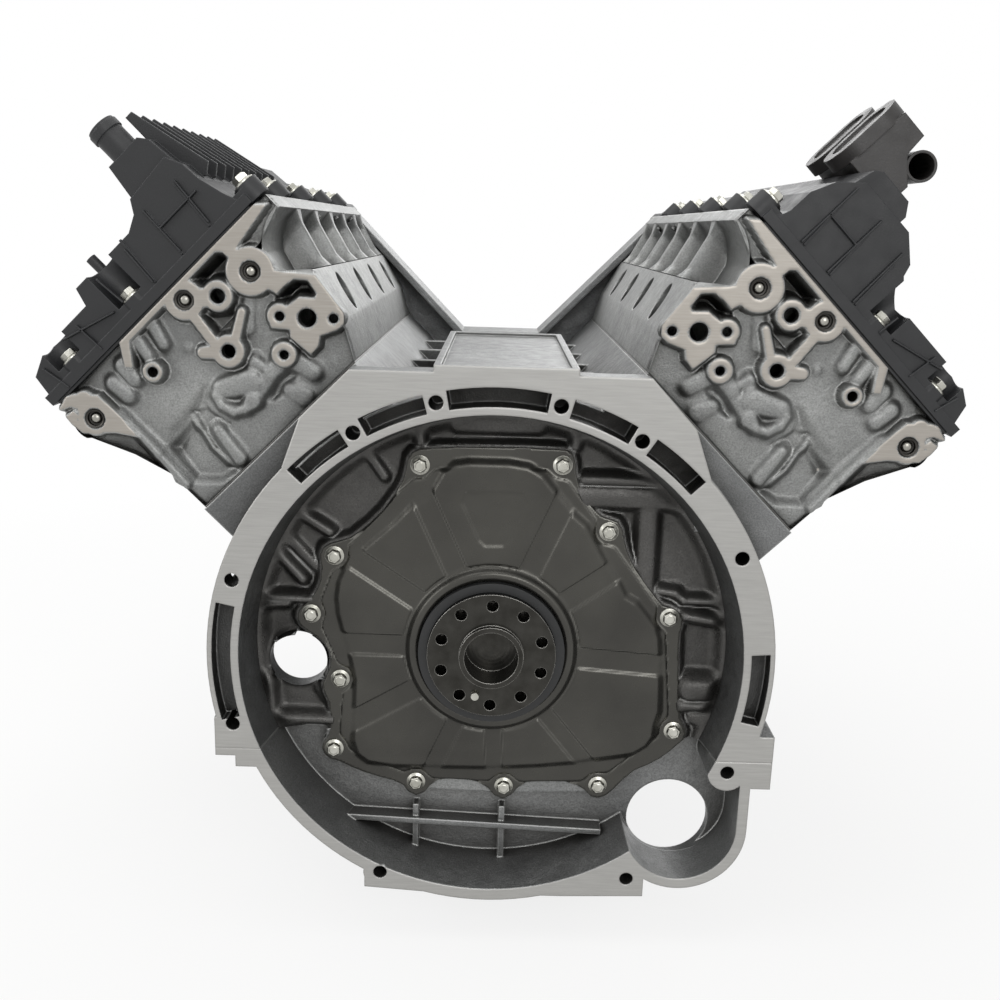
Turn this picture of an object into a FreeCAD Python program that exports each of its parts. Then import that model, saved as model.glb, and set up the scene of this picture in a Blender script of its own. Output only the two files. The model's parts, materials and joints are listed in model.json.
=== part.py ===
import FreeCAD, Part
import math
import os

# Ninety-degree V8 engine with four overhead camshafts, modelled in millimetres.
# Origin: centre of the crankshaft's rear flange face. +X to the right seen from the rear,
# +Y along the crankshaft towards the front of the engine, +Z up.
# Bank coordinates: across points outboard, along points up the cylinders, y runs with +Y.

Vec = FreeCAD.Vector

# Cylinders and cranks
bore = 93.0
stroke = 86.0
bore_spacing = 106.0
cylinders_per_bank = 4
bank_angle = 45.0                # each bank from the vertical
bank_offset = 18.0               # right bank ahead of the left, towards the rear
deck_height = 228.0              # crank axis to block deck
crank_pin_angles = (0, 90, 270, 180)
second_turn = {"right": (0, 1, 0, 1), "left": (0, 0, 1, 1)}
crank_rest_angle = 20.0          # where the crank stands in this model

# Clearances
running_clearance = 0.05         # radial, every turning fit
seat_clearance = 0.05            # between housed pieces of one body
bolt_clearance = 0.3             # radial, round a bolt's shank
lift_off = 0.1                   # between faces that are drawn just clear

# Pistons, pins and rods
rod_length = 151.0
rod_width = 18.0
rod_side_clearance = 0.15
rod_big_r = 34.0
rod_small_r = 17.0
rod_beam_half = 13.0
rod_flute_half = 8.0
rod_flute_depth = 5.0
rod_shoulder_half = 41.0
rod_shoulder_height = 17.0
compression_height = 33.5        # piston pin to crown
piston_skirt = 56.0
piston_wall = 7.0
piston_crown = 11.0
pin_boss_half = 27.0
wrist_pin_r = 11.0
wrist_pin_inner_r = 6.0
wrist_pin_length = 56.0
ring_drops = (7.0, 13.0, 20.0)   # ring grooves below the crown
ring_groove_height = 1.5
ring_height = 1.3
ring_depth = 3.0
ring_groove_depth = 3.5
ring_gap = 0.02                  # radial, ring to bore as drawn

# Crankshaft
rear_main_y = 50.0
main_journal_r = 32.0
main_journal_width = 24.0
pin_journal_r = 26.0
pin_journal_width = 37.0
counterweight_r = 76.0
counterweight_top = -12.0
bearing_shell = 2.5
flange_r = 49.0
flange_thickness = 22.0
flange_bolt_circle = 80.0
flange_bolt_count = 10
flange_hole_r = 4.5
flange_hole_depth = 20.0
pilot_boss_r = 24.5
pilot_boss_height = 5.0
pilot_bore_r = 20.5
pilot_bore_depth = 25.0
dowel_r = 3.0
dowel_depth = 12.0
dowel_reach = 4.0
dowel_circle_r = 34.0
dowel_angle = 250.0
nose_shoulder_r = 21.0
nose_r = 17.0
nose_shoulder_y = 488.0
nose_end_y = 596.0
nose_thread_r = 6.0
nose_thread_depth = 50.0

# Block
block_front_y = 500.0
bank_half_width = 79.5
split_z = -73.0                  # joint between block and sump
skirt_half_width = 112.0
crank_bay_r = 88.0
bulkhead_width = 22.0
main_cap_depth = 62.0
main_bolt_x = 52.0
main_bolt_r = 5.4
main_bolt_head_r = 9.0
main_bolt_head_height = 10.0
valley_floor_z = 150.0
valley_floor_half_width = 38.0
block_top_z = 217.0
tray_x = (-46.0, 56.0)
tray_y = (-18.0, 245.0)
tray_height = 5.0
tray_border = 5.0
valley_rib_y = (60, 120, 180, 240, 330, 420)
valley_rib_width = 6.0
jacket_depth = 90.0
jacket_inner_gap = 5.0
jacket_width = 6.5
jacket_boss_r = 10.5
head_bolt_across = 24.0
head_bolt_r = 5.5
head_bolt_reach = 88.0
head_bolt_head_r = 8.8
head_bolt_head_height = 11.0
core_plug_r = 16.0
core_plug_depth = 6.0
core_plug_along = 165.0

# Bell housing on the rear of the block and sump
bell_face_y = -18.0
bell_floor_y = 28.0
bell_floor_thickness = 8.0
bell_inner_r = 188.0
bell_floor_r = 180.0
bell_rim_r = 211.0
bell_wall_r = 203.0
bell_rim_thickness = 20.0
bell_bolt_circle_r = 200.3
bell_bolt_r = 5.3
bell_bolt_depth = 30.0
bell_bolt_angles = (77.3, 102.7, 59.3, 120.7, 26.1, 162.4, 195.3)
lower_bell_bolts = ((182.4, -82.0), (110.5, -175.1), (-81.8, -175.0))
lower_lug_r = 13.0
bell_lower_r = 197.0
bell_top_outline = (
    (-105, 217), (107, 217), (140, 182), (153, 146), (0, 0), (-153, 146), (-140, 182),
)
pocket_inner_r = 193.5
pocket_outer_r = 207.5
pocket_depth = 26.0
side_pocket_depth = 14.0         # blind, where the wall behind the rim is set back
pocket_spans = (
    (79.7, 100.3), (61.5, 75), (44, 57), (105, 118.5), (123, 136), (168, 194), (-12, 4),
)
side_block_left = (-207, -48)    # outboard x, top z
side_block_right = (216, -52)
access_hole_r = 22.5
access_ring_r = 30.0
access_hole_place = (-150.0, -15.0)
window_x = (106.0, 163.0)
window_z = (5.0, 96.0)
bell_rib_depth = 9.0
starter_hole_r = 33.0
starter_place = (147.0, -146.0)
starter_bulge_place = (150.0, -131.0)
starter_bulge_r = 51.0
starter_wall = 8.0

# Rear seal cover
seal_cover_y = 18.0              # rear face of its rim
seal_cover_thickness = 2.0
seal_panel_y = 11.0
seal_panel_thickness = 2.6
seal_panel_scale = 0.97          # inside of the pressed panel against its outside
seal_collar_r = 67.0
seal_collar_height = 3.0
seal_outer_r = 56.0
seal_y = (5.0, 17.0)
seal_gap = 0.1
seal_bolt_lobe_r = 10.5
seal_bolt_r = 2.9
seal_bolt_head_r = 5.5
seal_washer_r = 7.5
seal_rim_width = 15.0
seal_groove_count = 11
seal_groove_half = 8.0
seal_groove_depth = 1.2
seal_bolt_places = (
    (-57, 143), (49, 146), (86, 96), (136, 29), (145, -65), (88, -114),
    (13, -117), (-57, -115), (-122, -88), (-117, -29), (-139, 24), (-121, 71),
)
seal_panel_outline = (
    (-37, 138), (34, 138), (58, 105), (85, 67), (96, 46), (127, 14), (129, -55),
    (122, -76), (100, -90), (-96, -95), (-102, -62), (-100, -35), (-108, -5),
    (-114, 27), (-106, 57), (-94, 74), (-48, 120),
)
seal_emboss = ((-25, 122), (23, 124), (17, 83), (-12, 82))

# Cylinder heads
gasket_thickness = 1.2
head_rear_local_y = -98.0
cover_joint_height = 355.0
head_wall = 10.0
head_outline = (
    (-79.5, None), (-94, 256), (-104, 296), (-86, 312), (-86, 334), (-117, 344),
    (-117, 355), (102, 355), (102, 322), (88, 292), (79.5, 264), (79.5, None),
)
cavity_floor = 312.0
cavity_inboard = -80.0
cavity_outboard = 92.0
chamber_clearance = 0.5
roof_rise = 14.5
port_r = 14.0
intake_port_along = (251.0, 283.0)
exhaust_port_along = (249.0, 272.0)
exhaust_flange_across = 104.0
exhaust_pad_r = 22.0
intake_rib_half = 4.0
plug_tube_r = 17.0
plug_well_r = 13.0
plug_tube_end = 406.0
plug_seat_along = 268.0
plug_thread_r = 6.0
plug_hex_r = 9.0
plug_insulator_r = 5.0
boss_height = 5.0
rear_hole_depth = 14.0
ball_plug_depth = 2.5
ball_r = 4.2
# Machined bosses on the head's rear face: across, along, radius, hole radius
rear_bosses = {
    "plug_a": (-71.5, 325, 14.5, 7.0), "plug_b": (-22.5, 343.5, 12.0, 6.5),
    "plug_c": (88, 330, 16.0, 7.0), "upper": (-42, 329, 9.7, 5.5),
    "middle": (-19, 296.6, 10.5, 5.2), "big": (-77.5, 274.3, 14.5, 7.2),
    "small": (-64, 288.7, 9.0, 3.5), "corner": (-91, 261, 8.5, 3.5),
    "low": (-46.5, 267.3, 9.5, 3.5), "cam": (18, 324, 9.5, 4.0),
}
rear_boss_links = (
    ("plug_a", 14.5, (-80.7, 304.6), 8.0), ("plug_b", 9.0, "upper", 6.0),
    ("plug_b", 8.0, "middle", 5.0), ("middle", 6.0, (-7, 306), 4.5),
    ("small", 9.0, "big", 9.0), ("big", 12.0, "corner", 8.5),
)
rear_corner_plate = ((-105, 355), (-68, 355), (-58, 331), (-84, 320), (-88, 338))
ball_plug_bosses = ("plug_a", "plug_b", "plug_c")

# Camshafts and valve gear
cam_height = 346.0
cam_across = 53.5
cam_base_r = 17.0
cam_nose_r = 5.5
cam_lift = 8.5
cam_journal_r = 14.0
cam_shaft_r = 12.0
cam_lobe_width = 14.0
cam_end_gap = 16.0
cam_tower_width = 18.0
cam_tower_half = 20.0
cam_cap_foot = 8.0
cam_cap_arch = 7.0
intake_lobe_angle = 470.0        # crank degrees after firing
exhaust_lobe_angle = 250.0
valve_across = 19.5
valve_spacing = 36.0
valve_stem_r = 3.0
intake_valve_r = 16.5
exhaust_valve_r = 14.5
valve_margin = 2.0
valve_tulip = 8.0
valve_seat_gap = 0.3
valve_rim_gap = 1.6
tappet_r = 15.0
tappet_wall = 1.6
tappet_length = 20.0
tappet_crown = 3.0
tappet_lash = 0.1
valve_lash = 0.3
spring_outer_r = 12.5
spring_inner_r = 9.0
spring_well_depth = 72.0

# Timing drive
chain_pitch = 6.35
crank_sprocket_teeth = 21
cam_sprocket_teeth = 42
chain_plane_y = {"right": 513.5, "left": 527.5}
chain_width = 6.0
chain_height = 4.5
chain_gap = 1.3                  # chain over the pitch circle
tooth_height = 1.2
tooth_root_r = 2.0
sprocket_hub = 5.0
sprocket_hub_wall = 1.5
phaser_r = 36.0
phaser_back = 7.0
phaser_front = 13.0
cam_end_reach = 14.0
guide_gap = 0.6
guide_thickness = 8.0
guide_length = 120.0
guide_start = 70.0

# Valve covers
cover_wall = 3.5
cover_gasket_height = 2.0
cover_flange_thickness = 8.0
cover_rear_setback = 1.5
cover_outlines = {
    "left": ((-103, None), (-96, 376), (-91, 394), (-90, 408), (-84, 420), (-46, 417), (-40, 408),
             (-28, 402), (28, 402), (32, 389), (77, 389), (97, 380), (101, None)),
    "right": ((-103, None), (-97, 374), (-97, 392), (-90, 409), (-75, 424), (-30, 424), (-12, 411),
              (-9, 403), (10, 388), (76, 388), (93, 379), (100, None)),
}
cover_humps = {
    "left": ((-88, 400), (-84, 437), (-79, 443), (-50, 443), (-45, 412), (-45, 400)),
    "right": ((-84, 400), (-77, 434), (-72, 438), (-45, 438), (-38, 430), (-38, 400)),
}
hump_setback = 7.0
hump_end_y = 430.0
fin_outline = ((-80, 440), (-80, 462), (-86, 462), (-101, 402), (-93, 396), (-84, 400))
fin_count = 10
fin_pitch = 26.0
fin_first = 24.0
fin_width = 3.0
front_hump = ((-110, None), (-106, 388), (-74, 409), (78, 409), (100, 396), (112, 372), (112, None))
front_hump_y = 490.0
cover_half_inboard = -107.0
cover_half_outboard = 103.0
front_half_outboard = 114.0
front_half_inboard = -113.0
nozzle_across = -63.0
nozzle_r = 11.0
nozzle_bead_r = 12.0
nozzle_inner_r = 8.5
nozzle_y = 24.0                  # from the cover's rear face
nozzle_end = 470.0
spigot_across = 13.0
spigot_r = 4.0
spigot_y = 32.0
spigot_end = 416.0
cover_bolt_r = 3.0
cover_bolt_head_r = 6.0
cover_bolt_washer_r = 8.5
cover_bolt_head_height = 7.0
cover_inboard_bolt = -110.0
cover_outboard_bolt = 109.0
cover_rear_bolts = (5.0, 70.0)
cover_rear_bolt_y = 9.0
cover_pad_height = 14.0
cover_pad_r = 10.0
cap_across = 45.0
cap_local_y = 200.0
cap_r = 26.0
cap_height = 18.0
cap_neck_r = 20.0
cap_seat_along = 388.0
cap_neck_end = 381.0

# Oil separator on the right cover
separator_y = (54.0, 150.0)
separator_outline = ((-84, 438.5), (-84, 489), (-62, 489), (-60, 472), (-42, 458), (-42, 448), (-58, 438.5))
lid_centres = (74.0, 124.0)
lid_half = 21.0
lid_along = (430.0, 494.0)
lid_thickness = 10.0
lid_recess = 2.0
separator_pipe = (-46.0, 475.0)
separator_pipe_r = 11.5
separator_pipe_inner_r = 9.5

# Front of the engine
timing_cover_y = 548.0
timing_cover_plate = 8.0
timing_wall = 7.0
timing_lower = ((-110, -73), (110, -73), (120, 10))
timing_valley = (44.0, 200.0)
front_seal_r = 33.0
front_boss_r = 48.0
front_boss_height = 12.0
timing_bolt_r = 3.9
timing_bolt_head_r = 7.0
timing_bolt_places = (
    (-96, -60), (96, -60), (108, 10), (-108, 10), (160, 90), (-160, 90), (0, 188),
)
timing_bolt_boss_r = 10.0
pulley_r = 82.0
pulley_y = (562.0, 592.0)
pulley_hub_r = 27.0
pulley_rim = 14.0
pulley_web = 8.0
pulley_window_r = 9.0
pulley_window_circle_r = 48.0
pulley_window_count = 6
pulley_groove_count = 6
pulley_groove_pitch = 3.56
pulley_groove_depth = 2.8
pulley_groove_half = 1.5
oil_pump_r = 44.0
oil_pump_depth = 8.0

# Sumps
sump_rail_half_width = 128.0
sump_rail_thickness = 9.0
sump_half_width = 104.0
sump_flare = 8.0
sump_wall = 6.0
sump_floor_z = -188.0
sump_floor_thickness = 7.0
sump_opening_half = 82.0
sump_opening_inset = 16.0
sump_bolt_r = 3.9
sump_bolt_head_r = 7.0
sump_bolt_x = 120.0
pan_bottom_z = -235.0
pan_y = (84.0, 428.0)
pan_half_width = 96.0
pan_wall = 2.0
pan_lip = 8.0
pan_lip_thickness = 3.0
pan_corner_r = 18.0
pan_edge_r = 8.0
drain_place = (60.0, 400.0)
drain_r = 7.0
pickup_y = 200.0
pickup_r = 28.0
pickup_tube_r = 9.0
pickup_height = 14.0
pickup_run_z = -110.0

sides = ("right", "left")
kinds = ("intake", "exhaust")
right_bore_y = rear_main_y + bore_spacing / 2 - bank_offset / 2
first_bore_y = {"right": right_bore_y, "left": right_bore_y + bank_offset}
main_count = cylinders_per_bank + 1
main_y = [rear_main_y + k * bore_spacing for k in range(main_count)]
head_bottom = deck_height + gasket_thickness
cover_joint = cover_joint_height + cover_gasket_height + seat_clearance
crank_throw = stroke / 2
bell_back_y = bell_floor_y + bell_floor_thickness
timing_start_y = block_front_y + lift_off
timing_end_y = timing_cover_y + timing_cover_plate
sprocket_r = {
    "crank": chain_pitch / 2 / math.sin(math.pi / crank_sprocket_teeth),
    "cam": chain_pitch / 2 / math.sin(math.pi / cam_sprocket_teeth),
}


# General shapes

def box(x0, x1, y0, y1, z0, z1):
    return Part.makeBox(x1 - x0, y1 - y0, z1 - z0, Vec(x0, y0, z0))


def rod(r, start, end):
    start = Vec(*start)
    run = Vec(*end) - start
    return Part.makeCylinder(r, run.Length, start, run)


def cyl_y(r, y0, y1, x=0.0, z=0.0):
    return Part.makeCylinder(r, y1 - y0, Vec(x, y0, z), Vec(0, 1, 0))


def ring_y(r_in, r_out, y0, y1, x=0.0, z=0.0):
    return cyl_y(r_out, y0, y1, x, z).cut(cyl_y(r_in, y0 - 1, y1 + 1, x, z))


def polygon(points, y):
    corners = [Vec(x, y, z) for x, z in points]
    return Part.Face(Part.makePolygon(corners + corners[:1]))


def slab(points, y0, y1):
    return polygon(points, y0).extrude(Vec(0, y1 - y0, 0))


def inset_slab(points, inset, y0, y1):
    """Slab inside the outline, its sides moved in by the wall thickness."""
    return polygon(points, y0).makeOffset2D(-inset, 2).extrude(Vec(0, y1 - y0, 0))


def revolve_y(profile):
    corners = [Vec(r, y, 0) for r, y in profile]
    face = Part.Face(Part.makePolygon(corners + corners[:1]))
    return face.revolve(Vec(0, 0, 0), Vec(0, 1, 0), 360)


def fuse(shapes):
    shapes = list(shapes)
    return shapes[0].multiFuse(shapes[1:]).removeSplitter() if len(shapes) > 1 else shapes[0]


def cut(shape, tools):
    return shape.cut(list(tools))


def round_edges(shape, r, wanted):
    edges = [e for e in shape.Edges if wanted(e)]
    return shape.makeFillet(r, edges) if edges else shape


def along_y(edge):
    a, b = edge.Vertexes[0].Point, edge.Vertexes[-1].Point
    run = b - a
    return run.Length > 1 and abs(run.x) + abs(run.z) < 1e-6


def upright(edge):
    return abs(edge.Vertexes[0].Z - edge.Vertexes[-1].Z) > 5


def polar(r, degrees):
    return r * math.cos(math.radians(degrees)), r * math.sin(math.radians(degrees))


def arc_pocket(r0, r1, a0, a1, y0, y1):
    """Ring sector about the crank axis between two angles from +X towards +Z."""
    far = 2 * r1
    middle = (a0 + a1) / 2
    corners = [(0, 0), polar(far, a0), polar(far, middle), polar(far, a1)]
    return ring_y(r0, r1, y0, y1).common(slab(corners, y0, y1))


def strip(start, end, half, y0, y1):
    """Straight bar with square ends between two places."""
    dx, dz = end[0] - start[0], end[1] - start[1]
    length = math.hypot(dx, dz)
    nx, nz = dz / length * half, -dx / length * half
    return slab([(start[0] + nx, start[1] + nz), (end[0] + nx, end[1] + nz),
                 (end[0] - nx, end[1] - nz), (start[0] - nx, start[1] - nz)], y0, y1)


def tangent(c0, r0, c1, r1):
    """End points of the outer tangent to two circles, on the right of the way from c0 to c1."""
    dx, dz = c1[0] - c0[0], c1[1] - c0[1]
    heading = math.atan2(dz, dx) - math.acos((r0 - r1) / math.hypot(dx, dz))
    step = (math.cos(heading), math.sin(heading))
    return ((c0[0] + r0 * step[0], c0[1] + r0 * step[1]),
            (c1[0] + r1 * step[0], c1[1] + r1 * step[1]))


def loop_slab(circles, y0, y1):
    """Slab bounded by the belt line round circles given anticlockwise."""
    corners = []
    for i, (c0, r0) in enumerate(circles):
        c1, r1 = circles[(i + 1) % len(circles)]
        corners += tangent(c0, r0, c1, r1)
    return fuse([slab(corners, y0, y1)] + [cyl_y(r, y0, y1, c[0], c[1]) for c, r in circles])


def bolt(start, end, r, head_r, head_height, washer_r=0.0):
    """Shank from end up to start, with a six-sided head standing on start."""
    start, end = Vec(*start), Vec(*end)
    up = (start - end).normalize()
    parts = [Part.makeCylinder(r, (start - end).Length + 1, end, up)]
    side = up.cross(Vec(0, 1, 0)) if abs(up.y) < 0.9 else up.cross(Vec(0, 0, 1))
    side.normalize()
    other = up.cross(side)
    corners = []
    for k in range(6):
        c, s = polar(head_r, 60 * k)
        corners.append(start + side * c + other * s)
    parts.append(Part.Face(Part.makePolygon(corners + corners[:1])).extrude(up * head_height))
    if washer_r:
        parts.append(Part.makeCylinder(washer_r, head_height / 4, start, up))
    return fuse(parts)


# Places on a bank

def bank_xz(side, across, along):
    sine = math.sin(math.radians(bank_angle))
    cosine = math.cos(math.radians(bank_angle))
    x = along * sine + across * cosine
    z = along * cosine - across * sine
    return (x if side == "right" else -x), z


def on_bank(shape, side):
    """Carries a shape drawn upright on its first cylinder's axis to its bank."""
    placed = shape.copy()
    placed.translate(Vec(0, first_bore_y[side], 0))
    placed.rotate(Vec(0, 0, 0), Vec(0, 1, 0), bank_angle)
    if side == "left":
        placed = placed.mirror(Vec(0, 0, 0), Vec(1, 0, 0))
    return placed


def local_y(side, y):
    return y - first_bore_y[side]


def cylinder_stations():
    return [k * bore_spacing for k in range(cylinders_per_bank)]


def between_stations():
    return [(k - 0.5) * bore_spacing for k in range(cylinders_per_bank + 1)]


def outline(points, floor):
    return [(x, floor if z is None else z) for x, z in points]


# Motion at rest

def throw_angle(k):
    """Angle of crank pin k from the vertical, towards +X."""
    return crank_pin_angles[k] + crank_rest_angle


def pin_place(k):
    angle = math.radians(throw_angle(k))
    return crank_throw * math.sin(angle), crank_throw * math.cos(angle)


def piston_pin_height(side, k):
    """Distance of the piston pin from the crank axis, up the bank."""
    lean = throw_angle(k) - (bank_angle if side == "right" else -bank_angle)
    lean = math.radians(lean)
    return crank_throw * math.cos(lean) + math.sqrt(
        rod_length ** 2 - (crank_throw * math.sin(lean)) ** 2
    )


def firing_phase(side, k):
    """Crank degrees since this cylinder last fired, for an even four-stroke order."""
    bank = bank_angle if side == "right" else -bank_angle
    return (bank - throw_angle(k)) % 360 + 360 * second_turn[side][k]


def lobe_turn(side, k, kind):
    """Angle from the tappet to the lobe's nose, at cam speed."""
    peak = intake_lobe_angle if kind == "intake" else exhaust_lobe_angle
    return (firing_phase(side, k) - peak) / 2


def valve_lift(side, k, kind):
    turn = math.radians(lobe_turn(side, k, kind))
    centre = cam_base_r + cam_lift - cam_nose_r
    return max(0.0, centre * math.cos(turn) + cam_nose_r - cam_base_r)


# Block

def deck_bolt_places():
    return [(a, y) for y in between_stations() for a in (-head_bolt_across, head_bolt_across)]


def bank_body(side):
    return box(-bank_half_width, bank_half_width, head_rear_local_y,
               local_y(side, block_front_y), 60, deck_height)


def bank_cutters():
    tools = []
    cores = []
    walls = []
    bottom = deck_height - jacket_depth
    for y in cylinder_stations():
        tools.append(rod(bore / 2, (0, y, 55), (0, y, deck_height + 1)))
        inner = bore / 2 + jacket_inner_gap
        start, end = (0, y, bottom), (0, y, deck_height + 1)
        cores.append(rod(inner + jacket_width, start, end))
        walls.append(rod(inner, start, end))
    bosses = []
    for across, y in deck_bolt_places():
        start = (across, y, deck_height - head_bolt_reach)
        end = (across, y, deck_height + 1)
        bosses.append(rod(jacket_boss_r, start, end))
        tools.append(rod(head_bolt_r, start, end))
    tools.append(cut(fuse(cores), walls + bosses))
    for y in between_stations()[1:-1]:
        tools.append(rod(core_plug_r, (bank_half_width - core_plug_depth, y, core_plug_along),
                         (bank_half_width + 1, y, core_plug_along)))
    return tools


def core_plugs():
    made = []
    for side in sides:
        for y in between_stations()[1:-1]:
            r = core_plug_r - seat_clearance
            outer = bank_half_width - 1.0
            cup = rod(r, (bank_half_width - core_plug_depth + lift_off, y, core_plug_along),
                      (outer, y, core_plug_along))
            dish = rod(r - 1.5, (outer - 3, y, core_plug_along), (outer + 1, y, core_plug_along))
            made.append(on_bank(cup.cut(dish), side))
    return made


def above_split(shape):
    return shape.common(box(-400, 400, -50, 600, split_z, 400))


def below_split(shape):
    return shape.common(box(-400, 400, -50, 600, -400, split_z))


def bell_cavity():
    return revolve_y([
        (0, bell_face_y - 1), (bell_inner_r, bell_face_y - 1),
        (bell_floor_r, bell_floor_y), (0, bell_floor_y),
    ])


def upper_bell():
    rim_end = bell_face_y + bell_rim_thickness
    left_x, left_top = side_block_left
    right_x, right_top = side_block_right
    parts = [
        cyl_y(bell_rim_r, bell_face_y, rim_end),
        cyl_y(bell_wall_r, bell_face_y, bell_back_y),
        slab(bell_top_outline, bell_face_y, rim_end),
        box(left_x, left_x + 37, bell_face_y, bell_back_y, split_z, left_top),
        box(right_x - 46, right_x, bell_face_y, bell_back_y, split_z, right_top),
    ]
    return above_split(fuse(parts))


def seal_rim_band():
    """Raised band that the seal cover bolts to: bars between the bolt bosses."""
    y0, y1 = seal_cover_y + seal_cover_thickness, bell_floor_y + 1
    parts = []
    for i, place in enumerate(seal_bolt_places):
        following = seal_bolt_places[(i + 1) % len(seal_bolt_places)]
        parts.append(strip(place, following, seal_rim_width / 2, y0, y1))
        parts.append(cyl_y(seal_bolt_lobe_r, y0, y1, place[0], place[1]))
    return fuse(parts)


def bell_ribs():
    """Cast ribs and the access hole's ring on the floor of the bell."""
    y0, y1 = bell_floor_y - bell_rib_depth, bell_floor_y + 1
    x0, x1 = window_x
    z0, z1 = window_z
    places = (((-181, -30), (-122, -30), 2.5), ((-166, 20), (-128, 16), 2.5),
              ((-150, 96), (-106, 62), 2.5), ((-60, 168), (-52, 150), 2.5),
              ((x0 - 4, z0 - 4), (x1 + 8, z0 - 4), 2.5), ((x0 - 4, z1 + 4), (x1 - 4, z1 + 4), 2.5),
              ((x1 + 4, z0 - 6), (x1 + 4, z1 - 18), 2.5), ((132, -30), (186, -18), 2.5),
              ((62, 168), (52, 150), 2.5), ((96, 150), (80, 110), 2.5), ((150, 100), (100, 78), 2.5))
    parts = [strip(a, b, half, y0, y1) for a, b, half in places]
    x, z = access_hole_place
    parts.append(cyl_y(access_ring_r, y0 + 3, y1, x, z))
    parts.append(cyl_y(9, y0 - 6, y1, -160, 8))
    parts.append(cyl_y(7, y0 - 6, y1, 150, -46))
    cover = [slab(seal_bolt_places, 0, bell_floor_y)]
    cover += [cyl_y(seal_bolt_lobe_r + 2, 0, bell_floor_y, x, z) for x, z in seal_bolt_places]
    return cut(fuse(parts), cover)


def cylinder_block():
    front = block_front_y
    start = bell_back_y - 2
    skirt = slab([
        (-skirt_half_width, split_z), (skirt_half_width, split_z), (skirt_half_width, -12),
        (60, 118), (-60, 118), (-skirt_half_width, -12),
    ], start, front)
    rail = box(-sump_rail_half_width, sump_rail_half_width, start, front, split_z, split_z + 10)
    half = valley_floor_half_width
    valley = box(-half, half, start, front, 100, valley_floor_z)
    x0, x1 = tray_x
    y0, y1 = tray_y
    tray = box(x0, x1, y0, y1, valley_floor_z - 4, block_top_z + tray_height)
    valley_shape = slab([(-107, 217), (107, 217), (0, 108)], 0, 600)
    ribs = []
    for y in valley_rib_y:
        rib = box(-100, 100, y, y + valley_rib_width, valley_floor_z - 4, block_top_z - 22)
        ribs.append(rib.common(valley_shape))
    body = fuse([skirt, rail, valley, tray, upper_bell()] + ribs +
                [on_bank(bank_body(s), s) for s in sides])
    body = body.cut(bell_cavity())
    body = fuse([body, above_split(fuse([seal_rim_band(), bell_ribs()]))])

    tools = []
    for side in sides:
        tools += [on_bank(tool, side) for tool in bank_cutters()]
        above_deck = box(-bank_half_width, bank_half_width, head_rear_local_y, 400,
                         deck_height, deck_height + 12)
        tools.append(on_bank(above_deck, side))
    # crank tunnel, bays and main bearings
    half = bulkhead_width / 2
    for k in range(cylinders_per_bank):
        tools.append(cyl_y(crank_bay_r, main_y[k] + half, main_y[k + 1] - half))
    tools.append(box(-crank_bay_r, crank_bay_r, main_y[0] - half, main_y[-1] + half, split_z - 1, 0))
    tools.append(cyl_y(main_journal_r + bearing_shell, 0, front + 1))
    tools.append(cyl_y(60, 0, main_y[0] - half))
    tools.append(cyl_y(36, main_y[-1] + half, front + 1))
    tools.append(cyl_y(oil_pump_r + seat_clearance, front - oil_pump_depth, front + 1))
    # rim pockets, bolt holes, window and access hole
    for a0, a1 in pocket_spans:
        depth = side_pocket_depth if a0 < 30 or a0 > 150 else pocket_depth
        tools.append(arc_pocket(pocket_inner_r, pocket_outer_r, a0, a1,
                                bell_face_y - 1, bell_face_y + depth))
    for angle in bell_bolt_angles:
        x, z = polar(bell_bolt_circle_r, angle)
        tools.append(cyl_y(bell_bolt_r, bell_face_y - 1, bell_face_y + bell_bolt_depth, x, z))
    x, z = access_hole_place
    tools.append(cyl_y(access_hole_r, 5, 60, x, z))
    window = box(window_x[0], window_x[1] - 3, bell_floor_y - 5, bell_floor_y + 5,
                 window_z[0] + 3, window_z[1] - 2)
    tools.append(round_edges(window, 8, along_y))
    edge = tray_border
    tools.append(box(tray_x[0] + edge, tray_x[1] - edge, tray_y[0] + edge, tray_y[1] - edge,
                     block_top_z + 2, block_top_z + tray_height + 1))
    for x, z in seal_bolt_places:
        if z > split_z:
            tools.append(cyl_y(seal_bolt_r + seat_clearance, 0, bell_floor_y + 5, x, z))
    for x, y in main_bolt_places():
        tools.append(rod(main_bolt_r + seat_clearance, (x, y, -1), (x, y, 40)))
    for x, y in sump_bolt_places():
        tools.append(rod(sump_bolt_r + seat_clearance, (x, y, split_z - 1), (x, y, split_z + 9)))
    for x, z in timing_bolt_places:
        tools.append(cyl_y(timing_bolt_r + seat_clearance, front - 20, front + 1, x, z))
    return cut(body, tools)


def main_bolt_places():
    return [(x, y) for y in main_y for x in (-main_bolt_x, main_bolt_x)]


def main_bearing_caps():
    caps = []
    half = bulkhead_width / 2
    width = crank_bay_r - bolt_clearance
    for y in main_y:
        cap = box(-width, width, y - half, y + half, -main_cap_depth, -seat_clearance)
        cap = round_edges(cap, 16, lambda e: along_y(e) and e.Vertexes[0].Z < -10)
        cap = cut(cap, [cyl_y(main_journal_r + bearing_shell, y - 30, y + 30)] +
                  [rod(main_bolt_r + bolt_clearance, (x, y, -main_cap_depth - 1), (x, y, 1))
                   for x in (-main_bolt_x, main_bolt_x)])
        caps.append(cap)
    return caps


def main_cap_bolts():
    top = -main_cap_depth - lift_off
    return [bolt((x, y, top), (x, y, 36), main_bolt_r, main_bolt_head_r, main_bolt_head_height)
            for x, y in main_bolt_places()]


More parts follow.
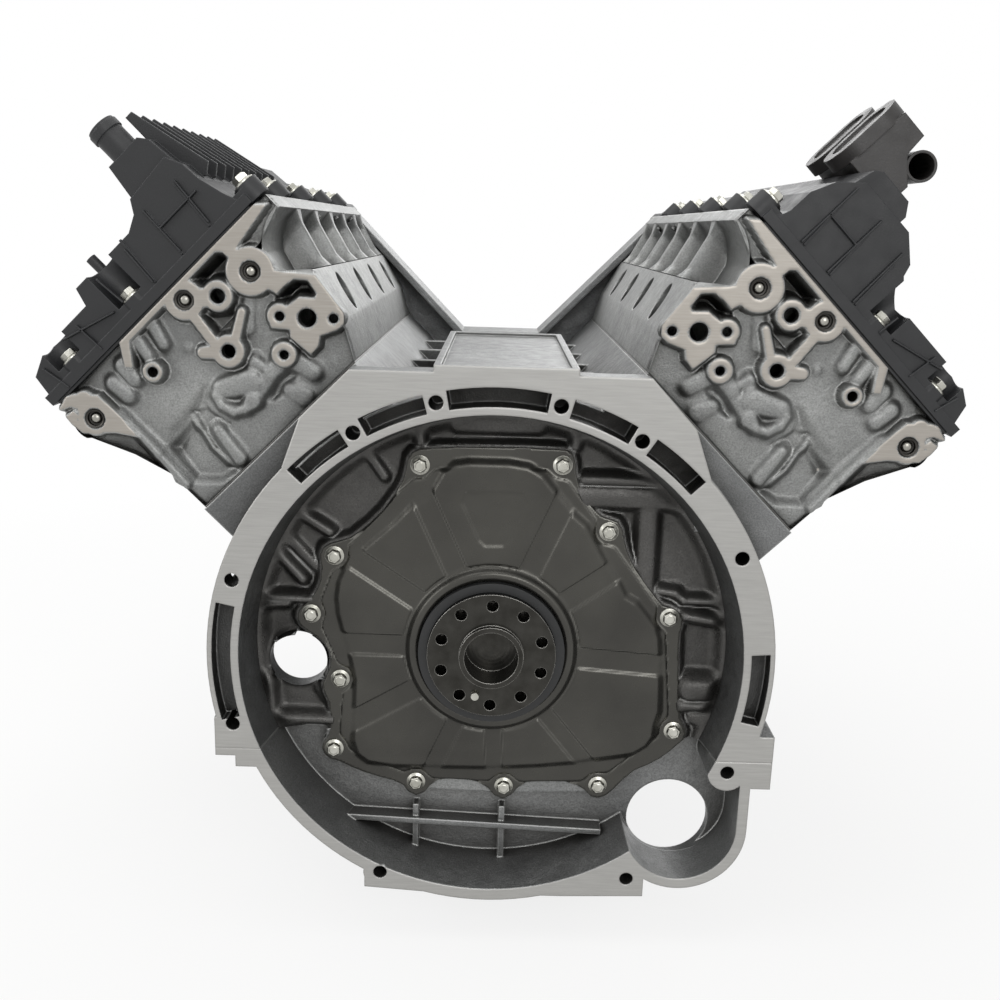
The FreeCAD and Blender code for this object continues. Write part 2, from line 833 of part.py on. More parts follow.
def main_bearing_shells():
    shells = []
    inner = main_journal_r + running_clearance
    outer = main_journal_r + bearing_shell - seat_clearance
    half = bulkhead_width / 2 - 1
    for y in main_y:
        ring = ring_y(inner, outer, y - half, y + half)
        shells.append(ring.common(box(-50, 50, y - 20, y + 20, seat_clearance, 50)))
        shells.append(ring.common(box(-50, 50, y - 20, y + 20, -50, -seat_clearance)))
    return shells


# Crankshaft

def crank_web(k, y0, y1):
    weight = cyl_y(counterweight_r, y0, y1)
    keep = box(-90, 90, y0, y1, -90, counterweight_top)
    cheek = slab([(-40, -14), (40, -14), (30, crank_throw), (-30, crank_throw)], y0, y1)
    cheek = fuse([weight.common(keep), cheek, cyl_y(pin_journal_r + 7, y0, y1, 0, crank_throw)])
    cheek.rotate(Vec(0, 0, 0), Vec(0, 1, 0), throw_angle(k))
    return cheek


def crankshaft():
    parts = [
        cyl_y(flange_r, 0, flange_thickness),
        cyl_y(pilot_boss_r, -pilot_boss_height, 1),
        cyl_y(main_journal_r + 2, flange_thickness - 1, main_y[0] - main_journal_width / 2),
        cyl_y(nose_shoulder_r, main_y[-1], nose_shoulder_y),
        cyl_y(nose_r, main_y[-1], nose_end_y),
    ]
    half = main_journal_width / 2
    for y in main_y:
        parts.append(cyl_y(main_journal_r, y - half, y + half))
    for k in range(cylinders_per_bank):
        middle = (main_y[k] + main_y[k + 1]) / 2
        px, pz = pin_place(k)
        pin = pin_journal_width / 2
        parts.append(cyl_y(pin_journal_r, middle - pin, middle + pin, px, pz))
        parts.append(crank_web(k, main_y[k] + half, middle - pin))
        parts.append(crank_web(k, middle + pin, main_y[k + 1] - half))
    holes = [cyl_y(pilot_bore_r, -pilot_boss_height - 1, pilot_bore_depth - pilot_boss_height)]
    for k in range(flange_bolt_count):
        x, z = polar(flange_bolt_circle / 2, 90 + 360 / flange_bolt_count * k)
        holes.append(cyl_y(flange_hole_r, -1, flange_hole_depth, x, z))
    x, z = polar(dowel_circle_r, dowel_angle)
    holes.append(cyl_y(dowel_r, -1, dowel_depth, x, z))
    holes.append(cyl_y(nose_thread_r, nose_end_y - nose_thread_depth, nose_end_y + 1))
    return cut(fuse(parts), holes)


def crank_dowel_pin():
    x, z = polar(dowel_circle_r, dowel_angle)
    return cyl_y(dowel_r - seat_clearance, -dowel_reach, dowel_depth, x, z)


# Pistons, pins and rods

def upright_to_bank(shape, side, k):
    placed = shape.copy()
    placed.translate(Vec(0, k * bore_spacing, 0))
    return on_bank(placed, side)


def each_cylinder():
    return [(side, k) for side in sides for k in range(cylinders_per_bank)]


def pistons():
    made = []
    r = bore / 2 - running_clearance
    for side, k in each_cylinder():
        pin = piston_pin_height(side, k)
        crown = pin + compression_height
        under = crown - piston_crown
        body = rod(r, (0, 0, crown - piston_skirt), (0, 0, crown))
        hollow = rod(r - piston_wall, (0, 0, crown - piston_skirt - 1), (0, 0, under))
        half = pin_boss_half
        pin_boss = box(-r + 9, r - 9, -half, half, pin - 14, under + 1)
        slot = rod_width / 2 + 1
        pin_boss = pin_boss.cut(box(-r, r, -slot, slot, 0, under + 1))
        body = fuse([body.cut(hollow), pin_boss.common(rod(r - 1, (0, 0, 0), (0, 0, crown)))])
        cuts = [rod(wrist_pin_r + seat_clearance, (0, -60, pin), (0, 60, pin))]
        for drop in ring_drops:
            top = crown - drop
            groove = rod(r + 1, (0, 0, top - ring_groove_height), (0, 0, top))
            cuts.append(groove.cut(rod(r - ring_groove_depth, (0, 0, 0), (0, 0, crown + 1))))
        made.append(upright_to_bank(cut(body, cuts), side, k))
    return made


def piston_rings():
    made = []
    outer = bore / 2 - ring_gap
    for side, k in each_cylinder():
        crown = piston_pin_height(side, k) + compression_height
        for drop in ring_drops:
            z0 = crown - drop - ring_groove_height + 0.1
            ring = rod(outer, (0, 0, z0), (0, 0, z0 + ring_height))
            ring = ring.cut(rod(outer - ring_depth, (0, 0, z0 - 1), (0, 0, z0 + 5)))
            made.append(upright_to_bank(ring, side, k))
    return made


def wrist_pins():
    made = []
    half = wrist_pin_length / 2
    for side, k in each_cylinder():
        pin = piston_pin_height(side, k)
        tube = rod(wrist_pin_r, (0, -half, pin), (0, half, pin))
        tube = tube.cut(rod(wrist_pin_inner_r, (0, -half - 1, pin), (0, half + 1, pin)))
        made.append(upright_to_bank(tube, side, k))
    return made


def connecting_rods():
    made = []
    half = rod_width / 2 - rod_side_clearance
    low, high = rod_big_r - 4, rod_length - rod_small_r + 3
    for side, k in each_cylinder():
        y = first_bore_y[side] + k * bore_spacing
        bx, bz = pin_place(k)
        sx, sz = bank_xz(side, 0, piston_pin_height(side, k))
        lean = math.degrees(math.atan2(sx - bx, sz - bz))
        beam = box(-rod_beam_half, rod_beam_half, -half, half, low, high)
        face = half - rod_flute_depth
        flutes = [box(-rod_flute_half, rod_flute_half, a, b, low + 10, high - 9)
                  for a, b in ((face, half + 1), (-half - 1, -face))]
        shoulder = box(-rod_shoulder_half, rod_shoulder_half, -half, half,
                       -rod_shoulder_height, rod_shoulder_height)
        body = fuse([beam.cut(flutes), cyl_y(rod_big_r, -half, half), shoulder,
                     cyl_y(rod_small_r, -half, half, 0, rod_length)])
        body = cut(body, [cyl_y(pin_journal_r + running_clearance, -20, 20),
                          cyl_y(wrist_pin_r + running_clearance, -20, 20, 0, rod_length)])
        body.rotate(Vec(0, 0, 0), Vec(0, 1, 0), lean)
        body.translate(Vec(bx, y, bz))
        made.append(body)
    return made


# Cylinder heads

def valve_axis(kind):
    """Cam centre, the unit step from it down the valve, and the way to the chamber roof."""
    sign = -1 if kind == "intake" else 1
    roof = head_bottom + roof_rise * (1 - valve_across / (bore / 2))
    top = (sign * cam_across, cam_height)
    down = (sign * valve_across - top[0], roof - top[1])
    length = math.hypot(*down)
    return top, (down[0] / length, down[1] / length), length


def on_valve(kind, y, reach):
    (x, z), (dx, dz), _ = valve_axis(kind)
    return x + dx * reach, y, z + dz * reach


def valve_stations():
    half = valve_spacing / 2
    return [(k, y + s * half) for k, y in enumerate(cylinder_stations()) for s in (-1, 1)]


def valve_radius(kind):
    return intake_valve_r if kind == "intake" else exhaust_valve_r


def head_cutters(side):
    y0, y1 = head_rear_local_y, local_y(side, block_front_y)
    half = bore / 2
    tools = [box(cavity_inboard, cavity_outboard, y0 + head_wall, y1 + 1, cavity_floor, 400)]
    for y in cylinder_stations():
        roof = slab([(-half, head_bottom - 1), (half, head_bottom - 1), (half, head_bottom),
                     (0, head_bottom + roof_rise), (-half, head_bottom)], y - half, y + half)
        tools.append(roof.common(rod(half - chamber_clearance, (0, y, 200), (0, y, 300))))
        tools.append(rod(plug_well_r, (0, y, plug_seat_along), (0, y, 400)))
        tools.append(rod(plug_thread_r, (0, y, 235), (0, y, plug_seat_along + 2)))
        low, high = intake_port_along
        tools.append(rod(port_r, (-valve_across - 6, y, low), (-125, y, high)))
        low, high = exhaust_port_along
        tools.append(rod(port_r, (valve_across + 6, y, low), (115, y, high)))
    for kind in kinds:
        _, _, length = valve_axis(kind)
        r = valve_radius(kind)
        for _, y in valve_stations():
            tools.append(rod(tappet_r + running_clearance, on_valve(kind, y, 8),
                             on_valve(kind, y, spring_well_depth)))
            tools.append(rod(valve_stem_r + running_clearance, on_valve(kind, y, 60),
                             on_valve(kind, y, length)))
            tools.append(rod(r - 1.5, on_valve(kind, y, length - 16), on_valve(kind, y, length + 4)))
            tools.append(rod(r + valve_seat_gap, on_valve(kind, y, length - 4.5),
                             on_valve(kind, y, length + 4)))
    return tools


def tower_stations(side):
    front = local_y(side, block_front_y) - cam_tower_width / 2
    return [y for y in between_stations() if y < front]


def cam_towers(side):
    half = cam_tower_width / 2
    return [box(x - cam_tower_half, x + cam_tower_half, y - half, y + half,
                cavity_floor - 1, cam_height)
            for y in tower_stations(side) for x in (-cam_across, cam_across)]


def boss_place(boss):
    return rear_bosses[boss][:2] if isinstance(boss, str) else boss


def cylinder_head(side):
    rear = head_rear_local_y
    y0 = rear + boss_height
    y1 = local_y(side, block_front_y)
    parts = [slab(outline(head_outline, head_bottom), y0, y1)]
    half = intake_rib_half
    rib = [(-84, 311), (-100, 304), (-116, 344), (-84, 336)]
    parts += [slab(rib, y - half, y + half) for y in cylinder_stations()]
    parts += [slab(rib, y - half, y + half) for y in between_stations() if y0 < y < y1 - half]
    for y in cylinder_stations():
        low, high = exhaust_port_along
        parts.append(rod(exhaust_pad_r, (70, y, low), (exhaust_flange_across, y, high - 2)))
    for across, along, r, _ in rear_bosses.values():
        parts.append(cyl_y(r, rear, y0 + 10, across, along))
    for a, ra, b, rb in rear_boss_links:
        parts.append(loop_slab([(boss_place(a), ra), (boss_place(b), rb)], rear, y0 + 2))
    parts.append(slab(rear_corner_plate, rear, y0 + 2))
    parts.append(slab([(-84, 340), (34, 340), (34, 355), (-84, 355)], rear + 2, y0 + 2))
    parts.append(slab([(-84, 349), (34, 349), (34, 355), (-84, 355)], rear, y0 + 2))
    body = fuse(parts)
    body = body.common(box(-120, 110, rear - 1, y1, head_bottom, cover_joint_height))
    body = cut(body, head_cutters(side))
    tubes = [rod(plug_tube_r, (0, y, cavity_floor - 1), (0, y, cover_joint_height))
             for y in cylinder_stations()]
    y = rear + cover_rear_bolt_y
    post = rod(8, (cover_rear_bolts[0], y, cavity_floor - 1), (cover_rear_bolts[0], y, cover_joint_height))
    body = fuse([body, post] + tubes + cam_towers(side))
    tools = [rod(plug_well_r, (0, y, plug_seat_along), (0, y, 400)) for y in cylinder_stations()]
    for x in (-cam_across, cam_across):
        tools.append(cyl_y(cam_journal_r + running_clearance, rear + head_wall, y1 + 1, x, cam_height))
    for across, y in deck_bolt_places():
        tools.append(rod(head_bolt_r + bolt_clearance, (across, y, 200), (across, y, cavity_floor + 1)))
    for across, along, _, hole in rear_bosses.values():
        tools.append(cyl_y(hole, rear - 1, rear + rear_hole_depth, across, along))
    for across, y in cover_bolt_places(side):
        tools.append(rod(cover_bolt_r + seat_clearance, (across, y, cover_joint_height - 14),
                         (across, y, cover_joint_height + 1)))
    return on_bank(cut(body, tools), side)


def head_gasket(side):
    y0, y1 = head_rear_local_y + boss_height, local_y(side, block_front_y)
    plate = box(-bank_half_width, bank_half_width, y0, y1,
                deck_height + seat_clearance, head_bottom - seat_clearance)
    holes = [rod(bore / 2 + 1, (0, y, 200), (0, y, 260)) for y in cylinder_stations()]
    holes += [rod(head_bolt_r + bolt_clearance, (a, y, 200), (a, y, 260))
              for a, y in deck_bolt_places()]
    return on_bank(cut(plate, holes), side)


def head_bolts():
    bolts = []
    bottom = deck_height - head_bolt_reach + 3
    for side in sides:
        for across, y in deck_bolt_places():
            shape = bolt((across, y, cavity_floor + lift_off), (across, y, bottom),
                         head_bolt_r - seat_clearance, head_bolt_head_r, head_bolt_head_height)
            bolts.append(on_bank(shape, side))
    return bolts


def head_plugs():
    plugs = []
    for side in sides:
        for name in ball_plug_bosses:
            across, along, _, hole = rear_bosses[name]
            y = head_rear_local_y + ball_plug_depth
            cup = cyl_y(hole - seat_clearance, y, y + 8, across, along)
            ball = Part.makeSphere(ball_r, Vec(across, y + 0.5, along))
            plugs.append(on_bank(fuse([cup, ball]), side))
    return plugs


def cam_caps():
    caps = []
    half = cam_tower_width / 2
    low = cam_height + seat_clearance
    for side in sides:
        for y in tower_stations(side):
            for x in (-cam_across, cam_across):
                foot = box(x - cam_tower_half, x + cam_tower_half, y - half, y + half,
                           low, cam_height + cam_cap_foot)
                arch = cyl_y(cam_journal_r + cam_cap_arch, y - half, y + half, x, cam_height)
                arch = arch.common(box(x - 30, x + 30, y - half, y + half, low, 400))
                bearing = cyl_y(cam_journal_r + running_clearance, y - 20, y + 20, x, cam_height)
                caps.append(on_bank(fuse([foot, arch]).cut(bearing), side))
    return caps


# Camshafts, valves and springs

def cam_lobe(y, turn, kind):
    """Base circle and nose joined by straight flanks, nose turned from the tappet's direction."""
    (x, z), (dx, dz), _ = valve_axis(kind)
    reach = cam_base_r + cam_lift - cam_nose_r
    half = cam_lobe_width / 2
    lobe = loop_slab([((0, 0), cam_base_r), ((0, reach), cam_nose_r)], -half, half)
    lobe.rotate(Vec(0, 0, 0), Vec(0, 1, 0), math.degrees(math.atan2(dx, dz)) + turn)
    lobe.translate(Vec(x, y, z))
    return lobe


def camshaft(side, kind):
    (x, z), _, _ = valve_axis(kind)
    start = head_rear_local_y + head_wall + cam_end_gap
    end = local_y(side, chain_plane_y[side]) + cam_end_reach
    parts = [cyl_y(cam_shaft_r, start, end, x, z)]
    half = cam_tower_width / 2 - 1
    for y in tower_stations(side):
        parts.append(cyl_y(cam_journal_r, y - half, y + half, x, z))
    for k, y in valve_stations():
        parts.append(cam_lobe(y, lobe_turn(side, k, kind), kind))
    return on_bank(fuse(parts), side)


def tappets(side):
    made = []
    for kind in kinds:
        for k, y in valve_stations():
            reach = cam_base_r + tappet_lash + valve_lift(side, k, kind)
            end = reach + tappet_length
            body = rod(tappet_r, on_valve(kind, y, reach), on_valve(kind, y, end))
            hollow = rod(tappet_r - tappet_wall, on_valve(kind, y, reach + tappet_crown),
                         on_valve(kind, y, end + 1))
            made.append(on_bank(body.cut(hollow), side))
    return made


def valves(side):
    made = []
    for kind in kinds:
        _, _, length = valve_axis(kind)
        r = valve_radius(kind) - valve_rim_gap
        for k, y in valve_stations():
            lift = valve_lift(side, k, kind)
            tip = cam_base_r + lift + tappet_crown + valve_lash
            head = length - 0.3 + lift
            shoulder = head - valve_margin
            stem = rod(valve_stem_r, on_valve(kind, y, tip), on_valve(kind, y, head))
            start = Vec(*on_valve(kind, y, shoulder - valve_tulip))
            run = Vec(*on_valve(kind, y, shoulder)) - start
            tulip = Part.makeCone(valve_stem_r, r, run.Length, start, run)
            plate = rod(r, on_valve(kind, y, shoulder - 0.1), on_valve(kind, y, head))
            made.append(on_bank(fuse([stem, tulip, plate]), side))
    return made


def valve_springs():
    made = []
    for side in sides:
        for kind in kinds:
            for k, y in valve_stations():
                start = cam_base_r + valve_lift(side, k, kind) + tappet_crown + 2 * valve_lash
                end = spring_well_depth - lift_off
                tube = rod(spring_outer_r, on_valve(kind, y, start), on_valve(kind, y, end))
                core = rod(spring_inner_r, on_valve(kind, y, start - 1), on_valve(kind, y, end + 1))
                made.append(on_bank(tube.cut(core), side))
    return made


def spark_plugs():
    made = []
    seat = plug_seat_along
    for side, k in each_cylinder():
        parts = [rod(plug_thread_r - seat_clearance, (0, 0, 247), (0, 0, seat + 1)),
                 rod(plug_hex_r, (0, 0, seat + lift_off), (0, 0, seat + 16)),
                 rod(plug_insulator_r, (0, 0, seat + 15), (0, 0, seat + 42)),
                 rod(1.6, (0, 0, 243.5), (0, 0, 248))]
        made.append(upright_to_bank(fuse(parts), side, k))
    return made


# Timing drive

def toothed_disc(teeth, pitch_r, y0, y1):
    """Chain sprocket: teeth left between round roots on the pitch circle."""
    disc = cyl_y(pitch_r + tooth_height, y0, y1)
    roots = []
    for k in range(teeth):
        x, z = polar(pitch_r, 360 / teeth * (k + 0.5))
        roots.append(cyl_y(tooth_root_r, y0 - 1, y1 + 1, x, z))
    return cut(disc, roots)


def cam_sprocket(side, kind):
    (x, z), _, _ = valve_axis(kind)
    plane = local_y(side, chain_plane_y[side])
    half = chain_width / 2
    disc = toothed_disc(cam_sprocket_teeth, sprocket_r["cam"], plane - half, plane + half)
    phaser = cyl_y(phaser_r, plane - phaser_back, plane + phaser_front)
    hub = fuse([disc, phaser]).cut(cyl_y(cam_shaft_r + seat_clearance, plane - 40, plane + 40))
    hub.translate(Vec(x, 0, z))
    return on_bank(hub, side)


def crank_sprocket():
    half = chain_width / 2
    parts = [cyl_y(nose_r + sprocket_hub_wall, chain_plane_y["right"] - sprocket_hub,
                   chain_plane_y["left"] + sprocket_hub)]
    for side in sides:
        y = chain_plane_y[side]
        parts.append(toothed_disc(crank_sprocket_teeth, sprocket_r["crank"], y - half, y + half))
    return fuse(parts).cut(cyl_y(nose_r + seat_clearance, 480, 560))


def chain_circles(side, gap):
    """Belt circles of a chain, crank first, as places in XZ."""
    circles = [((0, 0), sprocket_r["crank"] + gap)]
    for across in (cam_across, -cam_across):
        circles.append((bank_xz("right", across, cam_height), sprocket_r["cam"] + gap))
    if side == "left":
        circles = [((-c[0], c[1]), r) for c, r in (circles[0], circles[2], circles[1])]
    return circles


def timing_chain(side):
    half = chain_width / 2
    y0, y1 = chain_plane_y[side] - half, chain_plane_y[side] + half
    inside = loop_slab(chain_circles(side, chain_gap), y0 - 1, y1 + 1)
    return loop_slab(chain_circles(side, chain_gap + chain_height), y0, y1).cut(inside)


def chain_guides():
    """Straight guide rails against the outside of both runs of each chain."""
    rails = []
    half = chain_width / 2 + 2
    for side in sides:
        y0, y1 = chain_plane_y[side] - half, chain_plane_y[side] + half
        circles = chain_circles(side, chain_gap + chain_height + guide_gap)
        for i in (0, 2):
            c0, r0 = circles[i]
            c1, r1 = circles[(i + 1) % 3]
            a, b = tangent(c0, r0, c1, r1)
            length = math.hypot(b[0] - a[0], b[1] - a[1])
            ux, uz = (b[0] - a[0]) / length, (b[1] - a[1]) / length
            from_end = guide_start if i == 0 else length - guide_start - guide_length
            x, z = a[0] + ux * from_end, a[1] + uz * from_end
            end = (x + ux * guide_length, z + uz * guide_length)
            out = (uz * guide_thickness, -ux * guide_thickness)
            rails.append(slab([(x, z), end, (end[0] + out[0], end[1] + out[1]),
                               (x + out[0], z + out[1])], y0, y1))
    return rails


def oil_pump():
    y0, y1 = block_front_y - oil_pump_depth + lift_off, block_front_y + 5
    return ring_y(nose_shoulder_r + 1, oil_pump_r, y0, y1)


# Valve covers

def cover_end(side):
    return local_y(side, timing_end_y)


def cover_bolt_places(side):
    """Places of the cover bolts whose shanks reach the head."""
    rear = head_rear_local_y
    places = [(cover_inboard_bolt, y) for y in [rear + 14] + cylinder_stations()]
    places += [(a, rear + cover_rear_bolt_y) for a in cover_rear_bolts[:1]]
    return places


def cover_gasket(side):
    y0, y1 = head_rear_local_y + 2, cover_end(side) - 2
    front = local_y(side, timing_start_y)
    z0, z1 = cover_joint_height + seat_clearance, cover_joint_height + cover_gasket_height
    outside = fuse([box(-103, 99, y0, y1, z0, z1), box(-110, 109, front + 1, y1, z0, z1)])
    inside = fuse([box(-97, 94, y0 + 7, y1 - 7, z0 - 1, z1 + 1),
                   box(-104, 102, front + 8, y1 - 6, z0 - 1, z1 + 1)])
    holes = [rod(cover_bolt_r + bolt_clearance, (a, y, z0 - 1), (a, y, z1 + 1))
             for a, y, _ in cover_bolt_heads(side)]
    return on_bank(cut(outside, [inside] + holes), side)


def cover_bolt_heads(side):
    """Every cover bolt: across, y, height of the pad under its head."""
    high = cover_joint + cover_pad_height
    rear = head_rear_local_y
    places = [(a, y, high) for a, y in cover_bolt_places(side)]
    places.append((cover_rear_bolts[1], rear + cover_rear_bolt_y, high))
    places += [(cover_outboard_bolt, y, high) for y in tower_stations(side)[1:-1]]
    return places


def valve_cover(side):
    y0, y1 = head_rear_local_y, cover_end(side)
    low = cover_joint
    below = low - 10
    shell_y = y0 + cover_rear_setback
    front_y = local_y(side, front_hump_y)
    rear_outline = cover_outlines[side]
    hump = cover_humps[side]
    hump_y0, hump_y1 = y0 + hump_setback, y0 + hump_end_y
    flange_top = low + cover_flange_thickness
    parts = [
        slab(outline(rear_outline, low), shell_y, y1),
        slab(hump, hump_y0, hump_y1),
        slab(outline(front_hump, low), front_y, y1),
        box(cover_half_inboard, cover_half_outboard, y0, y1, low, flange_top),
        box(front_half_inboard, front_half_outboard, front_y, y1, low, flange_top),
    ]
    for across, y, top in cover_bolt_heads(side):
        parts.append(rod(cover_pad_r, (across, y, low), (across, y, top)))
        if across < 0:
            parts.append(box(across, -96, y - cover_pad_r, y + cover_pad_r, low, top - 2))
        elif across > cover_half_outboard:
            parts.append(box(96, across, y - cover_pad_r, y + cover_pad_r, low, top - 2))
    body = fuse(parts)
    body = body.common(box(-130, 130, y0, y1, low, 500))
    wall = cover_wall
    tools = [
        inset_slab(outline(rear_outline, below), wall, shell_y + wall, y1 - wall),
        inset_slab(hump, wall, hump_y0 + wall, hump_y1 - wall),
        inset_slab(outline(front_hump, below), wall, front_y + wall, y1 - wall),
    ]
    for across, y, top in cover_bolt_heads(side):
        tools.append(rod(cover_bolt_r + bolt_clearance, (across, y, low - 5), (across, y, top + 1)))
        if 0 < across < cover_half_outboard:
            niche = rod(cover_pad_r + 1.5, (across, y, top), (across, y, 450))
            tools.append(niche)
            tools.append(box(across - cover_pad_r - 1.5, across + cover_pad_r + 1.5,
                             y0 - 1, y, top, 450))
    inner = cut(body, tools)
    # walls round the niches of the rear bolts
    tubes = [rod(plug_tube_r, (0, y, low), (0, y, plug_tube_end)) for y in cylinder_stations()]
    pockets = []
    for across, y, top in cover_bolt_heads(side):
        if 0 < across < cover_half_outboard:
            r = cover_pad_r + 1.5 + wall
            wall_shape = rod(r, (across, y, low), (across, y, 420))
            wall_shape = wall_shape.common(slab(outline(rear_outline, low), shell_y, y1))
            pockets.append(cut(wall_shape, tools[3:]))
    body = fuse([inner] + pockets + tubes)
    lines = [slab([(x, 366), (x + 1.6, 366), (x - 1.4, 403), (x - 3, 403)], y0 + 0.2, shell_y + 1)
             for x in (-74, -46, -18)]
    bores = [rod(plug_well_r, (0, y, low - 1), (0, y, 450)) for y in cylinder_stations()]
    if side == "left":
        for i in range(fin_count):
            y = y0 + fin_first + fin_pitch * i
            lines.append(slab(fin_outline, y, y + fin_width))
        y = y0 + nozzle_y
        lines.append(rod(nozzle_r, (nozzle_across, y, 440), (nozzle_across, y, nozzle_end)))
        lines.append(rod(nozzle_bead_r, (nozzle_across, y, nozzle_end - 8),
                         (nozzle_across, y, nozzle_end - 2)))
        bores.append(rod(nozzle_inner_r, (nozzle_across, y, 430), (nozzle_across, y, nozzle_end + 1)))
        y = y0 + spigot_y
        lines.append(rod(spigot_r, (spigot_across, y, 400), (spigot_across, y, spigot_end)))
    else:
        bores.append(rod(cap_neck_r + seat_clearance, (cap_across, cap_local_y, 380),
                         (cap_across, cap_local_y, 450)))
    return on_bank(cut(fuse([body] + lines), bores), side)


def cover_bolts():
    bolts = []
    for side in sides:
        reach = cover_bolt_places(side)
        for across, y, top in cover_bolt_heads(side):
            end = cover_joint_height - 12 if (across, y) in reach else cover_joint + 1
            shape = bolt((across, y, top + lift_off), (across, y, end), cover_bolt_r,
                         cover_bolt_head_r, cover_bolt_head_height, cover_bolt_washer_r)
            bolts.append(on_bank(shape, side))
    return bolts


def oil_filler_cap():
    top = cap_seat_along + lift_off
    y = cap_local_y
    parts = [rod(cap_neck_r, (cap_across, y, cap_neck_end), (cap_across, y, top + 1)),
             rod(cap_r, (cap_across, y, top), (cap_across, y, top + cap_height)),
             box(cap_across - 5, cap_across + 5, y - cap_r + 3, y + cap_r - 3,
                 top + cap_height - 1, top + cap_height + 8)]
    return on_bank(fuse(parts), "right")


def oil_separator():
    y0 = separator_y[0] - first_bore_y["right"]
    y1 = separator_y[1] - first_bore_y["right"]
    parts = [slab(separator_outline, y0, y1)]
    for centre in lid_centres:
        y = centre - first_bore_y["right"]
        low, high = lid_along
        outer, inner = -84 - lid_thickness, -83
        half = lid_half
        lid = fuse([rod(half, (outer, y, low + half), (inner, y, low + half)),
                    rod(half, (outer, y, high - half), (inner, y, high - half)),
                    box(outer, inner, y - half, y + half, low + half, high - half)])
        slot = fuse([rod(half - 8, (outer - 1, y, low + half), (outer + lid_recess, y, low + half)),
                     rod(half - 8, (outer - 1, y, high - half), (outer + lid_recess, y, high - half)),
                     box(outer - 1, outer + lid_recess, y - half + 8, y + half - 8,
                         low + half, high - half)])
        parts.append(lid.cut(slot))
    x, z = separator_pipe
    parts.append(cyl_y(separator_pipe_r, y0 + 2, y1, x, z))
    body = fuse(parts).cut(cyl_y(separator_pipe_inner_r, y0 - 1, y1 - 10, x, z))
    return on_bank(body, "right")


# Rear seal cover, seal and bolts

def seal_cover():
    y0, y1 = seal_cover_y, seal_cover_y + seal_cover_thickness
    rim = fuse([slab(seal_bolt_places, y0, y1)] +
               [cyl_y(seal_bolt_lobe_r, y0, y1, x, z) for x, z in seal_bolt_places])
    inside = [(x * seal_panel_scale, z * seal_panel_scale) for x, z in seal_panel_outline]
    panel = slab(seal_panel_outline, seal_panel_y, y1)
    hollow = slab(inside, seal_panel_y + seal_panel_thickness, y1 + 1)
    collar = cyl_y(seal_collar_r, seal_panel_y - seal_collar_height, y0)
    body = fuse([fuse([rim, panel]).cut(hollow), collar])
    tools = [cyl_y(seal_outer_r + seat_clearance, 0, 30)]
    tools += [cyl_y(seal_bolt_r + bolt_clearance, 0, 40, x, z) for x, z in seal_bolt_places]
    for k in range(seal_groove_count):
        groove = box(seal_collar_r + 2, 104, seal_panel_y - 1, seal_panel_y + seal_groove_depth,
                     -seal_groove_half, seal_groove_half)
        groove.rotate(Vec(0, 0, 0), Vec(0, 1, 0), 16 + 360 / seal_groove_count * k)
        tools.append(groove.common(slab(inside, 0, 30)))
    return cut(body, tools)


def rear_main_seal():
    return ring_y(flange_r + seal_gap, seal_outer_r, *seal_y)


def seal_cover_bolts():
    start = seal_cover_y - lift_off
    return [bolt((x, start, z), (x, bell_floor_y - 1, z), seal_bolt_r, seal_bolt_head_r, 5.5, seal_washer_r)
            for x, z in seal_bolt_places]


# Sumps

def sump_bolt_places():
    steps = [70 + 68 * k for k in range(7)]
    return [(s * sump_bolt_x, y) for s in (-1, 1) for y in steps]


